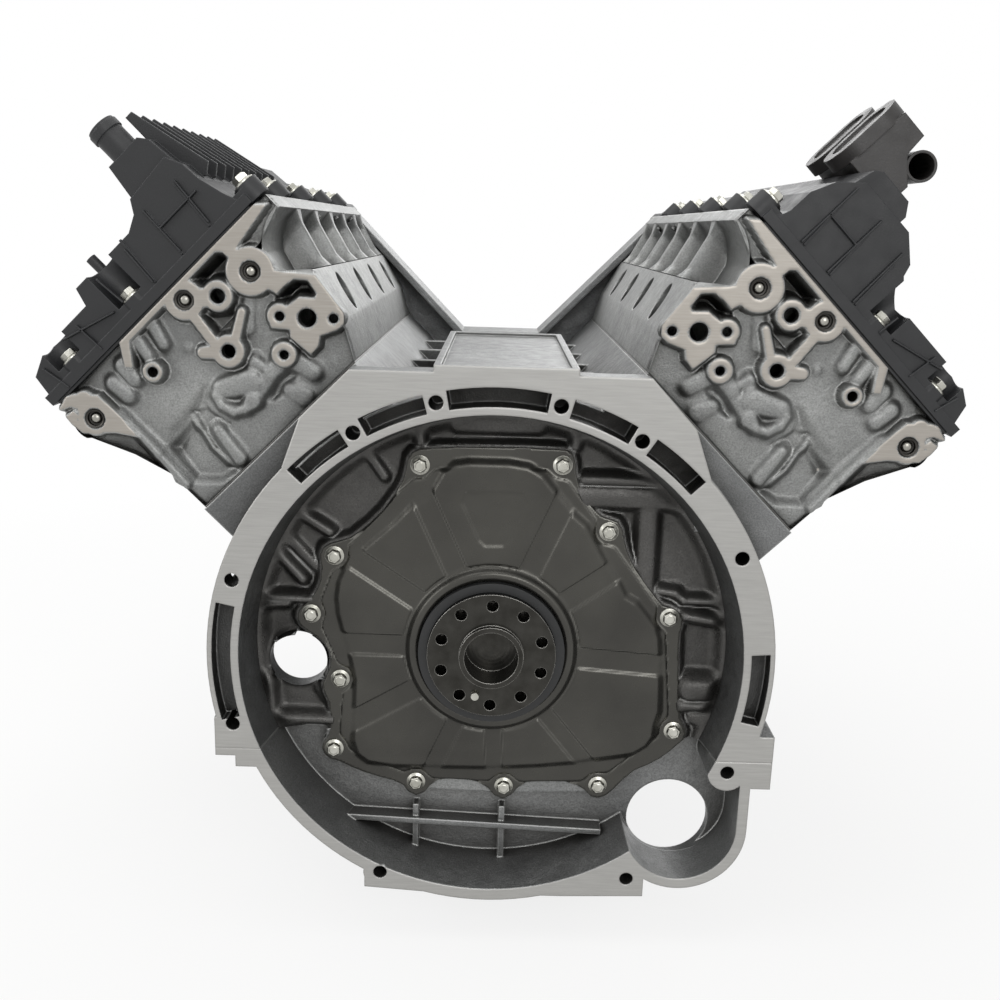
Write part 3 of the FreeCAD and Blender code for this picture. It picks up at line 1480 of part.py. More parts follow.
def oil_pan_upper():
    cx, cz = starter_bulge_place
    r = starter_bulge_r
    bulge = fuse([cyl_y(r, bell_face_y, bell_back_y, cx, cz),
                  box(cx, cx + r, bell_face_y, bell_back_y, cz, split_z)])
    foot = slab([(-94, -188), (-35, -192), (60, -192), (124, -190), (124, -140), (-94, -140)],
                bell_face_y, bell_back_y)
    left_x, right_x = side_block_left[0], side_block_right[0]
    parts = [
        cyl_y(bell_lower_r, bell_face_y, bell_back_y), bulge, foot,
        box(left_x, -150, bell_face_y, bell_back_y, -79, split_z),
        box(-192, -150, bell_face_y, bell_back_y, -88, split_z),
        box(150, right_x, bell_face_y, bell_back_y, -95, split_z),
    ]
    for x, z in lower_bell_bolts[1:]:
        parts.append(cyl_y(lower_lug_r, bell_face_y, bell_face_y + 14, x, z))
    bell = below_split(fuse(parts))
    inner_r = r - starter_wall
    inner_bulge = fuse([cyl_y(inner_r, bell_face_y - 1, bell_floor_y, cx, cz),
                        box(cx - 20, cx + inner_r, bell_face_y - 1, bell_floor_y, cz, split_z + 1)])
    lug = cyl_y(lower_lug_r + 2, bell_face_y - 2, bell_floor_y + 1, *lower_bell_bolts[0])
    bell = bell.cut(bell_cavity()).cut(inner_bulge.cut(lug))
    band = below_split(seal_rim_band())
    rib = strip((-120, -146), (92, -154), 2.2, bell_floor_y - 14, bell_floor_y + 1)
    slots = [strip((-57 + dx, -136), (-57 + dx, -184), 2.2, bell_floor_y - 10, bell_floor_y + 1)
             for dx in (0, 69)]
    low = sump_floor_z
    wide = sump_half_width + sump_flare
    start = bell_back_y - 2
    rail = box(-sump_rail_half_width, sump_rail_half_width, start, block_front_y,
               split_z - sump_rail_thickness, split_z)
    tub = [(-wide, split_z), (wide, split_z), (sump_half_width, low), (-sump_half_width, low)]
    wall = sump_wall
    narrow = sump_half_width - wall
    inner = slab([(-wide + wall, split_z + 1), (wide - wall, split_z + 1),
                  (narrow, low + sump_floor_thickness), (-narrow, low + sump_floor_thickness)],
                 bell_back_y + 10, block_front_y - wall)
    hole = sump_opening_half
    inset = sump_opening_inset
    opening = box(-hole, hole, pan_y[0] + inset, pan_y[1] - inset, low - 1, low + 8)
    body = fuse([bell, band, rib, rail, slab(tub, start, block_front_y)] + slots)
    tools = [inner, opening, cyl_y(60, 0, bell_back_y + 11)]
    sx, sz = starter_place
    tools.append(cyl_y(starter_hole_r, bell_floor_y - 5, bell_back_y + 5, sx, sz))
    for x, z in lower_bell_bolts:
        tools.append(cyl_y(bell_bolt_r, bell_face_y - 1, bell_face_y + bell_bolt_depth, x, z))
    for x, z in seal_bolt_places:
        if z < split_z:
            tools.append(cyl_y(seal_bolt_r + seat_clearance, 0, bell_floor_y + 5, x, z))
    for x, y in sump_bolt_places():
        tools.append(rod(sump_bolt_r + bolt_clearance, (x, y, split_z - 20), (x, y, split_z + 1)))
    return cut(body, tools)


def sump_bolts():
    top = split_z - sump_rail_thickness - lift_off
    return [bolt((x, y, top), (x, y, split_z + 8), sump_bolt_r, sump_bolt_head_r, 7)
            for x, y in sump_bolt_places()]


def oil_pan_lower():
    y0, y1 = pan_y
    w = pan_half_width
    t = pan_wall
    top = sump_floor_z - lift_off
    tub = box(-w, w, y0, y1, pan_bottom_z, top)
    tub = round_edges(tub, pan_corner_r, upright)
    tub = round_edges(tub, pan_edge_r, lambda e: max(v.Z for v in e.Vertexes) < pan_bottom_z + 1)
    hollow = box(-w + t, w - t, y0 + t, y1 - t, pan_bottom_z + t, sump_floor_z + 1)
    hollow = round_edges(hollow, pan_corner_r - t, upright)
    hollow = round_edges(hollow, pan_edge_r - t, lambda e: max(v.Z for v in e.Vertexes) < pan_bottom_z + t + 1)
    lip = pan_lip
    flange = box(-w - lip, w + lip, y0 - lip, y1 + lip, top - pan_lip_thickness, top)
    x, y = drain_place
    drain = rod(drain_r, (x, y, pan_bottom_z - 1), (x, y, pan_bottom_z + t + 1))
    return cut(fuse([tub, flange]), [hollow, drain])


def drain_plug():
    x, y = drain_place
    low = pan_bottom_z + pan_wall
    parts = [rod(drain_r + 4, (x, y, low + lift_off), (x, y, low + 5)),
             rod(drain_r - seat_clearance, (x, y, pan_bottom_z + 0.2), (x, y, low + 1))]
    return fuse(parts)


def oil_pickup():
    bottom = pan_bottom_z + pickup_height
    y = pickup_y
    r = pickup_tube_r
    parts = [rod(pickup_r, (0, y, bottom), (0, y, bottom + 12)),
             rod(r, (0, y, bottom + 6), (0, y, pickup_run_z)),
             rod(r, (0, y, pickup_run_z), (0, block_front_y - sump_wall, pickup_run_z)),
             Part.makeSphere(r, Vec(0, y, pickup_run_z))]
    return fuse(parts)


# Timing cover and pulley

def timing_outline():
    joint = cover_joint_height
    vx, vz = timing_valley
    right = [bank_xz("right", front_half_outboard - 2, joint - 14),
             bank_xz("right", front_half_outboard - 2, joint), bank_xz("right", front_half_inboard + 1, joint)]
    left = [(-x, z) for x, z in reversed(right)]
    mirrored = [(-x, z) for x, z in timing_lower[2:]]
    return list(timing_lower) + right + [(vx, vz), (-vx, vz)] + left + mirrored


def timing_cover():
    start, end = timing_start_y, timing_end_y
    points = timing_outline()
    inside = inset_slab(points, timing_wall, start - 1, timing_cover_y)
    mouths = []
    for side in sides:
        mouth = box(front_half_inboard + 8, 104, local_y(side, start) - 1, local_y(side, timing_cover_y),
                    cover_joint_height - 12, cover_joint_height + 1)
        mouths.append(on_bank(mouth, side))
    body = cut(slab(points, start, end), [inside] + mouths)
    body = fuse([body, cyl_y(front_boss_r, timing_cover_y, end + front_boss_height - timing_cover_plate)])
    bosses = [cyl_y(timing_bolt_boss_r, start, end, x, z) for x, z in timing_bolt_places]
    body = fuse([body] + bosses)
    tools = [cyl_y(front_seal_r + seat_clearance, 500, 580)]
    tools += [cyl_y(timing_bolt_r + bolt_clearance, 490, 580, x, z) for x, z in timing_bolt_places]
    return cut(body, tools)


def timing_cover_bolts():
    start = timing_end_y + lift_off
    return [bolt((x, start, z), (x, block_front_y - 18, z), timing_bolt_r, timing_bolt_head_r, 8)
            for x, z in timing_bolt_places]


def front_main_seal():
    return ring_y(pulley_hub_r + seal_gap, front_seal_r, timing_cover_y + 1, timing_cover_y + 11)


def crank_pulley():
    y0, y1 = pulley_y
    rim = ring_y(pulley_r - pulley_rim, pulley_r, y0, y1)
    web = cyl_y(pulley_r - pulley_rim + 4, y0 + 4, y0 + 4 + pulley_web)
    hub_start = chain_plane_y["left"] + sprocket_hub + lift_off
    hub = cyl_y(pulley_hub_r, hub_start, nose_end_y)
    tools = [cyl_y(nose_r + seat_clearance, 500, nose_end_y + 1)]
    for k in range(pulley_groove_count):
        y = y0 + 5 + k * pulley_groove_pitch
        half = pulley_groove_half
        tools.append(revolve_y([(pulley_r + 1, y - half), (pulley_r - pulley_groove_depth, y),
                                (pulley_r + 1, y + half)]))
    for k in range(pulley_window_count):
        x, z = polar(pulley_window_circle_r, 360 / pulley_window_count * k)
        tools.append(cyl_y(pulley_window_r, y0, y1, x, z))
    return cut(fuse([rim, web, hub]), tools)


def pulley_bolt():
    washer = cyl_y(22, nose_end_y + lift_off, nose_end_y + 4)
    head = bolt((0, nose_end_y + 3, 0), (0, nose_end_y - 45, 0), nose_thread_r - 0.2, 14, 13)
    return fuse([washer, head])


# Export

def export(node, solids):
    if isinstance(solids, (list, tuple)):
        shape = Part.makeCompound(list(solids))
    else:
        shape = solids.Solids[0] if len(solids.Solids) == 1 else solids
    volume = round(shape.Volume / 1000, 1)
    print(node, len(shape.Solids), volume, "cm3", shape.isValid(), flush=True)
    shape.exportStep("parts/" + node + ".step")


os.makedirs("parts", exist_ok=True)
export("cylinder_block", cylinder_block())
export("core_plugs", core_plugs())
export("main_bearing_caps", main_bearing_caps())
export("main_cap_bolts", main_cap_bolts())
export("main_bearing_shells", main_bearing_shells())
export("crankshaft", crankshaft())
export("crank_dowel_pin", crank_dowel_pin())
export("pistons", pistons())
export("piston_rings", piston_rings())
export("wrist_pins", wrist_pins())
export("connecting_rods", connecting_rods())
for side in sides:
    export("head_gasket_" + side, head_gasket(side))
    export("cylinder_head_" + side, cylinder_head(side))
    for kind in kinds:
        export(kind + "_camshaft_" + side, camshaft(side, kind))
        export(kind + "_sprocket_" + side, cam_sprocket(side, kind))
    export("tappets_" + side, tappets(side))
    export("valves_" + side, valves(side))
    export("timing_chain_" + side, timing_chain(side))
    export("cover_gasket_" + side, cover_gasket(side))
    export("valve_cover_" + side, valve_cover(side))
export("head_bolts", head_bolts())
export("head_plugs", head_plugs())
export("cam_caps", cam_caps())
export("valve_springs", valve_springs())
export("spark_plugs", spark_plugs())
export("chain_guides", chain_guides())
export("oil_pump", oil_pump())
export("cover_bolts", cover_bolts())
export("oil_filler_cap", oil_filler_cap())
export("oil_separator", oil_separator())
export("crank_sprocket", crank_sprocket())
export("seal_cover", seal_cover())
export("rear_main_seal", rear_main_seal())
export("seal_cover_bolts", seal_cover_bolts())
export("oil_pan_upper", oil_pan_upper())
export("sump_bolts", sump_bolts())
export("oil_pan_lower", oil_pan_lower())
export("drain_plug", drain_plug())
export("oil_pickup", oil_pickup())
export("timing_cover", timing_cover())
export("timing_cover_bolts", timing_cover_bolts())
export("front_main_seal", front_main_seal())
export("crank_pulley", crank_pulley())
export("pulley_bolt", pulley_bolt())
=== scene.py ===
import json
import math
import bmesh
import bpy
import numpy as np
from mathutils import Matrix, Vector


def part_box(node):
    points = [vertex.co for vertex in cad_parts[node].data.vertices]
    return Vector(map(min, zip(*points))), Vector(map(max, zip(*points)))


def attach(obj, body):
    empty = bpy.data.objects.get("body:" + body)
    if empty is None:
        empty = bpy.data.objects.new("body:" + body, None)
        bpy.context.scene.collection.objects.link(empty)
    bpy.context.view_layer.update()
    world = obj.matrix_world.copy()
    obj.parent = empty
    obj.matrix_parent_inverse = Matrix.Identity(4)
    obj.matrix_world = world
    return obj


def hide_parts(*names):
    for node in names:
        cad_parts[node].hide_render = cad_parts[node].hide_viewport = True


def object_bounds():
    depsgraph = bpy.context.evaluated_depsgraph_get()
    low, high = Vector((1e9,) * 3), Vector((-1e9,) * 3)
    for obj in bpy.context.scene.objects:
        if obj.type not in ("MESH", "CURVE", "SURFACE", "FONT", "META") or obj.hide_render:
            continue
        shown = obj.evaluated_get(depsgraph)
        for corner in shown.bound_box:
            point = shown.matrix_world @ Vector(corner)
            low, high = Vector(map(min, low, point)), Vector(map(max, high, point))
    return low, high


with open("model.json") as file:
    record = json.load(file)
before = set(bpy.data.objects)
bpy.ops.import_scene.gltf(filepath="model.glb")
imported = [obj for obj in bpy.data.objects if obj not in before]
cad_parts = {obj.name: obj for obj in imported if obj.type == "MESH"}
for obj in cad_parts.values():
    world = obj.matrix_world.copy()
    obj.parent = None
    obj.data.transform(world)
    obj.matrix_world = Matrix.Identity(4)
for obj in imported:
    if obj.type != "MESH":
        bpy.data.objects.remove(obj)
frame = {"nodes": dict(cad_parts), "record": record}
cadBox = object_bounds()
scene = bpy.context.scene
nodes = frame["nodes"]
mm = 0.001
halfRoot = math.sqrt(0.5)             # the banks stand at 45 degrees
fullTurn = 6.2832
print("frame loaded:", len(nodes), "nodes")

# Camera: the photograph's angle, from behind and a little above the crank flange
camera = {"lens": 39.48, "place": (-1.21, -779.73, 314.19), "pitch": 13.827, "yaw": 0.3113, "roll": 1.7686}
pitch, yaw, roll = (math.radians(camera[k]) for k in ("pitch", "yaw", "roll"))
ahead = Vector((math.sin(yaw) * math.cos(pitch), math.cos(yaw) * math.cos(pitch), -math.sin(pitch)))
level = Vector((math.cos(yaw), -math.sin(yaw), 0))
lift = level.cross(ahead)
rightward = level * math.cos(roll) + lift * math.sin(roll)
upward = lift * math.cos(roll) - level * math.sin(roll)
lensData = bpy.data.cameras.new("camera")
lensData.lens = camera["lens"]
lensData.sensor_width = 36
lensData.clip_start, lensData.clip_end = 0.05, 60
cameraObject = bpy.data.objects.new("camera", lensData)
turn = Matrix((rightward, upward, -ahead)).transposed().to_4x4()
cameraObject.matrix_world = Matrix.Translation(Vector(camera["place"]) * mm) @ turn
scene.collection.objects.link(cameraObject)
scene.camera = cameraObject
scene.view_settings.view_transform = "Standard"


def linear(code):                     # an sRGB hex colour as linear light
    parts = [int(code[i:i + 2], 16) / 255 for i in (0, 2, 4)]
    return tuple(c / 12.92 if c <= 0.04045 else ((c + 0.055) / 1.055) ** 2.4 for c in parts) + (1,)


def addNode(tree, kind, settings=None, links=None):
    # a setting with a capital or a number is an input's value, any other is the node's own
    node = tree.nodes.new(kind)
    for key, value in (settings or {}).items():
        if isinstance(key, int) or key[0].isupper():
            node.inputs[key].default_value = value
        else:
            setattr(node, key, value)
    for key, source in (links or {}).items():
        tree.links.new(source, node.inputs[key])
    return node


def startMaterial(name):
    material = bpy.data.materials.new(name)
    material.use_nodes = True
    tree = material.node_tree
    tree.nodes.clear()
    coords = addNode(tree, "ShaderNodeTexCoord").outputs["Object"]
    shader = addNode(tree, "ShaderNodeBsdfPrincipled")
    addNode(tree, "ShaderNodeOutputMaterial", links={"Surface": shader.outputs[0]})
    return material, tree, coords, shader


def noise(tree, coords, size, detail=3.0, roughness=0.5):   # size of the grain in millimetres
    settings = {"Scale": 1000 / size, "Detail": detail, "Roughness": roughness}
    return addNode(tree, "ShaderNodeTexNoise", settings, {"Vector": coords}).outputs["Fac"]


def spread(tree, source, low, high, fromLow=0.3, fromHigh=0.7):
    settings = {"From Min": fromLow, "From Max": fromHigh, "To Min": low, "To Max": high}
    return addNode(tree, "ShaderNodeMapRange", settings, {"Value": source}).outputs["Result"]


def blendColour(tree, factor, first, second):
    node = addNode(tree, "ShaderNodeMix", {"data_type": "RGBA"}, {0: factor})
    for slot, value in ((6, first), (7, second)):
        if isinstance(value, str):
            node.inputs[slot].default_value = linear(value)
        else:
            tree.links.new(value, node.inputs[slot])
    return node.outputs[2]


def calc(tree, operation, first, second=None, third=None):
    node = addNode(tree, "ShaderNodeMath", {"operation": operation})
    for slot, value in enumerate((first, second, third)):
        if isinstance(value, (int, float)):
            node.inputs[slot].default_value = value
        elif value is not None:
            tree.links.new(value, node.inputs[slot])
    return node.outputs[0]


def roundedEdge(tree, radius):        # the normal of an edge rounded by radius millimetres, and where it is
    bevel = addNode(tree, "ShaderNodeBevel", {"samples": 6, "Radius": radius * mm}).outputs[0]
    flat = addNode(tree, "ShaderNodeNewGeometry").outputs["True Normal"]
    dot = addNode(tree, "ShaderNodeVectorMath", {"operation": "DOT_PRODUCT"}, {0: bevel, 1: flat}).outputs["Value"]
    return bevel, calc(tree, "SUBTRACT", 1.0, dot)


def facePlanes(tree, coords, planes):  # 1 on faces turned to -Y that lie on one of the planes, in millimetres
    place = addNode(tree, "ShaderNodeSeparateXYZ", links={0: coords}).outputs["Y"]
    found = None
    for y in planes:
        near = calc(tree, "COMPARE", place, y * mm, 0.00012)
        found = near if found is None else calc(tree, "MAXIMUM", found, near)
    return found


def shade(tree, skin, paintedShade, distance):   # paints shade into the colour: darkens what lies deep between neighbours, where shade falls
    openness = addNode(tree, "ShaderNodeAmbientOcclusion", {"samples": 4, "Distance": distance * mm}).outputs["AO"]
    return blendColour(tree, spread(tree, openness, 0, 1, 0.25, 0.95), paintedShade, skin)


def bumpy(tree, strength, depth, height, normal):   # depth in millimetres
    settings = {"Strength": strength, "Distance": depth * mm}
    return addNode(tree, "ShaderNodeBump", settings, {"Height": height, "Normal": normal}).outputs[0]


def dress(tree, shader, skin, rough, bumps):
    for socket, source in (("Base Color", skin), ("Roughness", rough), ("Normal", bumps)):
        tree.links.new(source, shader.inputs[socket])


def castAlloy(name, look):
    material, tree, coords, shader = startMaterial(name)
    edge, worn = roundedEdge(tree, look["edge"])
    cloud = spread(tree, noise(tree, coords, 60, 3), 0, 1)
    pits = noise(tree, coords, 1.3, 4, 0.65)
    skin = blendColour(tree, cloud, look["dark"], look["light"])
    skin = blendColour(tree, spread(tree, pits, 0, 0.55, 0.4, 0.66), skin, look["grain"])
    # painted shade: the skin darkens towards the painted shade colour in recesses and between parts
    skin = shade(tree, skin, look["paintedShade"], look["reach"])
    skin = blendColour(tree, spread(tree, worn, 0, 0.65, 0.015, 0.2), skin, look["edgeColour"])
    rough = spread(tree, noise(tree, coords, 9, 3), look["rough"] - 0.07, look["rough"] + 0.08)
    waves = calc(tree, "MULTIPLY_ADD", noise(tree, coords, 14, 2), 2.2, pits)
    bumps = bumpy(tree, look["bump"], 0.8, waves, edge)
    if look["machined"]:
        cut = facePlanes(tree, coords, look["machined"])
        stretch = addNode(tree, "ShaderNodeMapping", {"Rotation": (0, 0.6, 0), "Scale": (0.05, 1, 1.0)},
                          {"Vector": coords})
        marks = noise(tree, stretch.outputs[0], 1.1, 3, 0.6)     # mill marks, drawn coarser than the real 0.3 mm
        face = blendColour(tree, spread(tree, marks, 0, 0.45, 0.3, 0.7), look["face"], look["faceDark"])
        skin = blendColour(tree, cut, skin, face)
        rough = calc(tree, "MULTIPLY_ADD", cut, calc(tree, "SUBTRACT", look["faceRough"], rough), rough)
        fine = bumpy(tree, 0.05, 0.2, marks, edge)
        bumps = addNode(tree, "ShaderNodeMix", {"data_type": "VECTOR"}, {0: cut, 4: bumps, 5: fine}).outputs[1]
    dress(tree, shader, skin, rough, bumps)
    shader.inputs["Metallic"].default_value = look["metal"]
    return material


# steel or turned alloy: brushed, plated, ground or blackened
def metal(name, colour, dark, worn, rough, edge=0.5, cloud=14, grain=0.9, turned=None, bump=0.12, metallic=1.0):
    material, tree, coords, shader = startMaterial(name)
    rounded, wear = roundedEdge(tree, edge)
    skin = blendColour(tree, spread(tree, noise(tree, coords, cloud, 3), 0, 1), colour, dark)
    skin = blendColour(tree, spread(tree, wear, 0, 0.7, 0.02, 0.25), skin, worn)
    fine = noise(tree, coords, grain, 3, 0.6)
    if turned:                        # tool marks round the crank axis, drawn coarser than the real 0.2 mm feed
        settings = {"wave_type": "RINGS", "rings_direction": "Y", "Scale": 1000 / turned / fullTurn,
                    "Distortion": 0.6, "Detail": 1.0}
        rings = addNode(tree, "ShaderNodeTexWave", settings, {"Vector": coords}).outputs["Fac"]
        fine = calc(tree, "MULTIPLY_ADD", rings, 0.6, fine)
    shine = spread(tree, noise(tree, coords, 6, 3), rough - 0.05, rough + 0.06)
    dress(tree, shader, skin, shine, bumpy(tree, bump, 0.3, fine, rounded))
    shader.inputs["Metallic"].default_value = metallic
    return material


# moulded plastic or rubber, finely grained
def polymer(name, colour, dark, worn, rough, edge=1.2, ior=1.5):
    material, tree, coords, shader = startMaterial(name)
    rounded, wear = roundedEdge(tree, edge)
    skin = blendColour(tree, spread(tree, noise(tree, coords, 45, 3), 0, 1), colour, dark)
    skin = blendColour(tree, spread(tree, wear, 0, 0.55, 0.03, 0.3), skin, worn)
    grain = noise(tree, coords, 1.3, 3, 0.6)
    shine = spread(tree, noise(tree, coords, 12, 3), rough - 0.06, rough + 0.08)
    dress(tree, shader, skin, shine, bumpy(tree, 0.25, 0.4, grain, rounded))
    shader.inputs["IOR"].default_value = ior
    return material


# each look holds a colour of painted shade for recesses, and reach, how far that painted shade looks
blockLook = {"dark": "6f7070", "light": "858686", "grain": "4f5050", "paintedShade": "2f2e2c", "reach": 55.0,
             "edgeColour": "c9cac8", "rough": 0.38, "bump": 0.5, "edge": 2.2, "metal": 0.75,
             "machined": (-18.0,), "face": "abaaa7", "faceDark": "949390", "faceRough": 0.38}
headLook = dict(blockLook, dark="808180", light="989997", grain="5c5d5c", paintedShade="33322f", reach=26.0,
                machined=(14.0, -4.0), face="a39e97", faceDark="8c8780")
# painted shade: the bell floor takes a darker copy of the block's casting colours, for the shade deep inside the bell
bellShadeLook = dict(blockLook, dark="4b4a48", light="5b5a58", grain="3a3938", edgeColour="a5a5a3", reach=30.0, rough=0.32)
sumpLook = dict(blockLook, dark="7f8080", light="979897", paintedShade="4a4947")
timingLook = dict(blockLook, machined=None, reach=20.0)
finishes = {
    "block_casting": castAlloy("block cast aluminium", blockLook),    # grainy grey skin, bright milled rim
    "head_casting": castAlloy("head cast aluminium", headLook),       # a little lighter, bosses milled flat
    "bell_casting": castAlloy("cast aluminium darkened as painted shade", bellShadeLook),   # painted shade: dark for the deep bell floor, satin, soft
    "sump_casting": castAlloy("sump die cast aluminium", sumpLook),   # a lighter, cleaner skin, with lighter painted shade
    "timing_casting": castAlloy("timing case die cast aluminium", timingLook),   # as the block, nothing milled
    "zinc_steel": metal("zinc plated steel", "c4c3bb", "a3a299", "e2e1da", 0.3, edge=0.35),   # silvery, warm
    "bolt_steel": metal("phosphated bolt steel", "4c4a47", "3a3937", "7c7a75", 0.45),   # dull grey, bright corners
    "crank_steel": metal("machined crank steel", "42413e", "33322f", "d0cec8", 0.28,
                         edge=0.9, turned=1.6, bump=0.1),   # turned, oiled, dark grey
    "cast_iron": metal("ductile iron", "6a6864", "54524f", "8f8c86", 0.5, bump=0.4, grain=1.4),   # matt dark skin
    "coated_steel": metal("phosphate coated sheet steel", "4d4c48", "42413e", "8f8e88", 0.3,
                          edge=0.6, cloud=60, bump=0.05, metallic=0.85),   # olive grey satin sheet
    "painted_steel": metal("black painted sheet steel", "2b2c2e", "222325", "4c4d4f", 0.35,
                           metallic=0.2, cloud=60),   # black, a little glossy
    "pulley_steel": metal("black coated pulley steel", "3a3b3c", "2d2e2f", "77787a", 0.38,
                          turned=2.4),   # black with turned rings
    "tube_steel": metal("drawn tube steel", "8e8f90", "77787a", "bcbdbd", 0.32),   # plain grey sheen
    "piston_alloy": metal("piston alloy", "a9a9a7", "939391", "c9c9c6", 0.34),   # pale, satin
    "ring_steel": metal("piston ring steel", "6d6c69", "5a5956", "94928d", 0.3),   # dark, even
    "polished_steel": metal("ground steel", "b4b5b6", "9c9d9e", "d5d6d6", 0.16, bump=0.04),   # mirror bright
    "forged_steel": metal("forged rod steel", "6f6c67", "57554f", "98958e", 0.42,
                          bump=0.35, grain=1.4),   # rough dark skin
    "sprocket_steel": metal("hardened sprocket steel", "63625f", "4e4d4a", "9a9892", 0.34),   # hard dark grey
    "plug_steel": metal("nickel plated core plug", "a7a59e", "8d8b84", "cbc9c2", 0.3),   # warm, bright rings
    "cap_alloy": metal("cam cap alloy", "a3a4a4", "8c8d8d", "c4c5c4", 0.4, bump=0.3),   # pale cast grain
    "spring_steel": metal("valve spring wire", "5a5b5e", "48494c", "85868a", 0.3),   # blue grey wire
    "plug_shell": metal("spark plug shell", "bdbcb6", "a2a19b", "dad9d3", 0.28),   # bright plating
    "pump_alloy": metal("pump alloy", "9fa0a0", "87888a", "c1c2c2", 0.4, bump=0.3),   # pale cast grain
    "gasket_steel": metal("coated gasket steel", "6b6a68", "595856", "8f8e8b", 0.4),   # flat grey
    "cam_steel": metal("ground cam steel", "868683", "6c6c69", "b4b4b0", 0.26),   # ground, bright lobes
    "valve_steel": metal("valve steel", "8f8d8a", "757370", "b9b7b3", 0.28),   # smooth warm grey
    "chain_steel": metal("chain link steel", "55544f", "403f3b", "8a8880", 0.36),   # dark oiled links
    "bearing_metal": metal("bearing metal", "a8a49b", "8f8b83", "c6c2b9", 0.3),   # soft warm white
    "cover_plastic": polymer("glass filled nylon", "161719", "111214", "3c3d41", 0.5),   # near black, paler edges
    "cap_plastic": polymer("filler cap nylon", "242527", "1c1d1f", "3f4043", 0.4),   # dark, smooth
    "separator_plastic": polymer("separator nylon", "2f2d2c", "252322", "4b4846", 0.44),   # brownish black
    "guide_plastic": polymer("guide nylon", "4b4438", "3b352b", "6a6152", 0.4),   # amber brown
    "seal_rubber": polymer("black seal rubber", "1a1b1c", "131415", "2b2c2e", 0.5,
                           ior=1.52, edge=0.6),   # black, soft
}
for part in frame["record"]["subparts"]:
    node = nodes[part["node"]]
    finish = finishes[part["material_slot"]]
    if not node.material_slots:
        node.data.materials.append(finish)
    for held in node.material_slots:
        held.material = finish
print("finishes set on", len(nodes), "nodes")


def makePiece(name, mesh, finish, slot, replaced=()):
    piece = bpy.data.objects.new(name, mesh)
    scene.collection.objects.link(piece)
    if not mesh.materials:
        mesh.materials.append(finishes[finish])
    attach(piece, "engine")
    if replaced:
        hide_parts(*replaced)


def settle(holder):                   # the object's modifiers worked into a plain mesh, and the object removed
    whole = bpy.context.evaluated_depsgraph_get()
    whole.update()
    mesh = bpy.data.meshes.new_from_object(holder.evaluated_get(whole), depsgraph=whole)
    bpy.data.objects.remove(holder)
    return mesh


def heldObject(name, mesh):
    holder = bpy.data.objects.new(name, mesh)
    scene.collection.objects.link(holder)
    return holder


def mergedCopy(node, isGone, angle):  # a CAD node's mesh, merged, without the faces that a relief stands for
    body = bmesh.new()
    body.from_mesh(nodes[node].data)
    bmesh.ops.remove_doubles(body, verts=body.verts, dist=1e-6)
    corners = np.array([v.co for v in body.verts]) / mm
    faces = np.array([[v.index for v in f.verts] for f in body.faces])
    gone = isGone(corners[faces], corners[faces].mean(1))
    bmesh.ops.delete(body, geom=[f for f, away in zip(body.faces[:], gone) if away], context="FACES")
    for face in body.faces:
        face.smooth = True
    mesh = bpy.data.meshes.new(node)
    body.to_mesh(mesh)
    body.free()
    for stale in ("custom_normal", "sharp_edge", "sharp_face"):
        if stale in mesh.attributes:
            mesh.attributes.remove(mesh.attributes[stale])
    mesh.polygons.foreach_set("use_smooth", np.ones(len(mesh.polygons), bool))
    mesh.set_sharp_from_angle(angle=math.radians(angle))
    return mesh


def outlineDistance(places, outline):  # negative inside the outline
    corners = np.asarray(outline, float)
    nearest = np.full(len(places), 1e9)
    inside = np.zeros(len(places), bool)
    for start, end in zip(corners, np.roll(corners, -1, 0)):
        run = end - start
        share = np.clip(((places - start) @ run) / (run @ run), 0, 1)
        nearest = np.minimum(nearest, np.hypot(*(places - start - share[:, None] * run).T))
        rise = run[1] if abs(run[1]) > 1e-9 else 1e-9
        beyond = places[:, 0] < start[0] + (places[:, 1] - start[1]) * run[0] / rise
        inside ^= ((start[1] > places[:, 1]) != (end[1] > places[:, 1])) & beyond
    return np.where(inside, -nearest, nearest)


def smoothStep(value, low, high):
    share = np.clip((value - low) / (high - low), 0, 1)
    return share * share * (3 - 2 * share)


def softMin(first, second, reach):
    share = np.clip(0.5 + 0.5 * (second - first) / reach, 0, 1)
    return second * (1 - share) + first * share - reach * share * (1 - share)


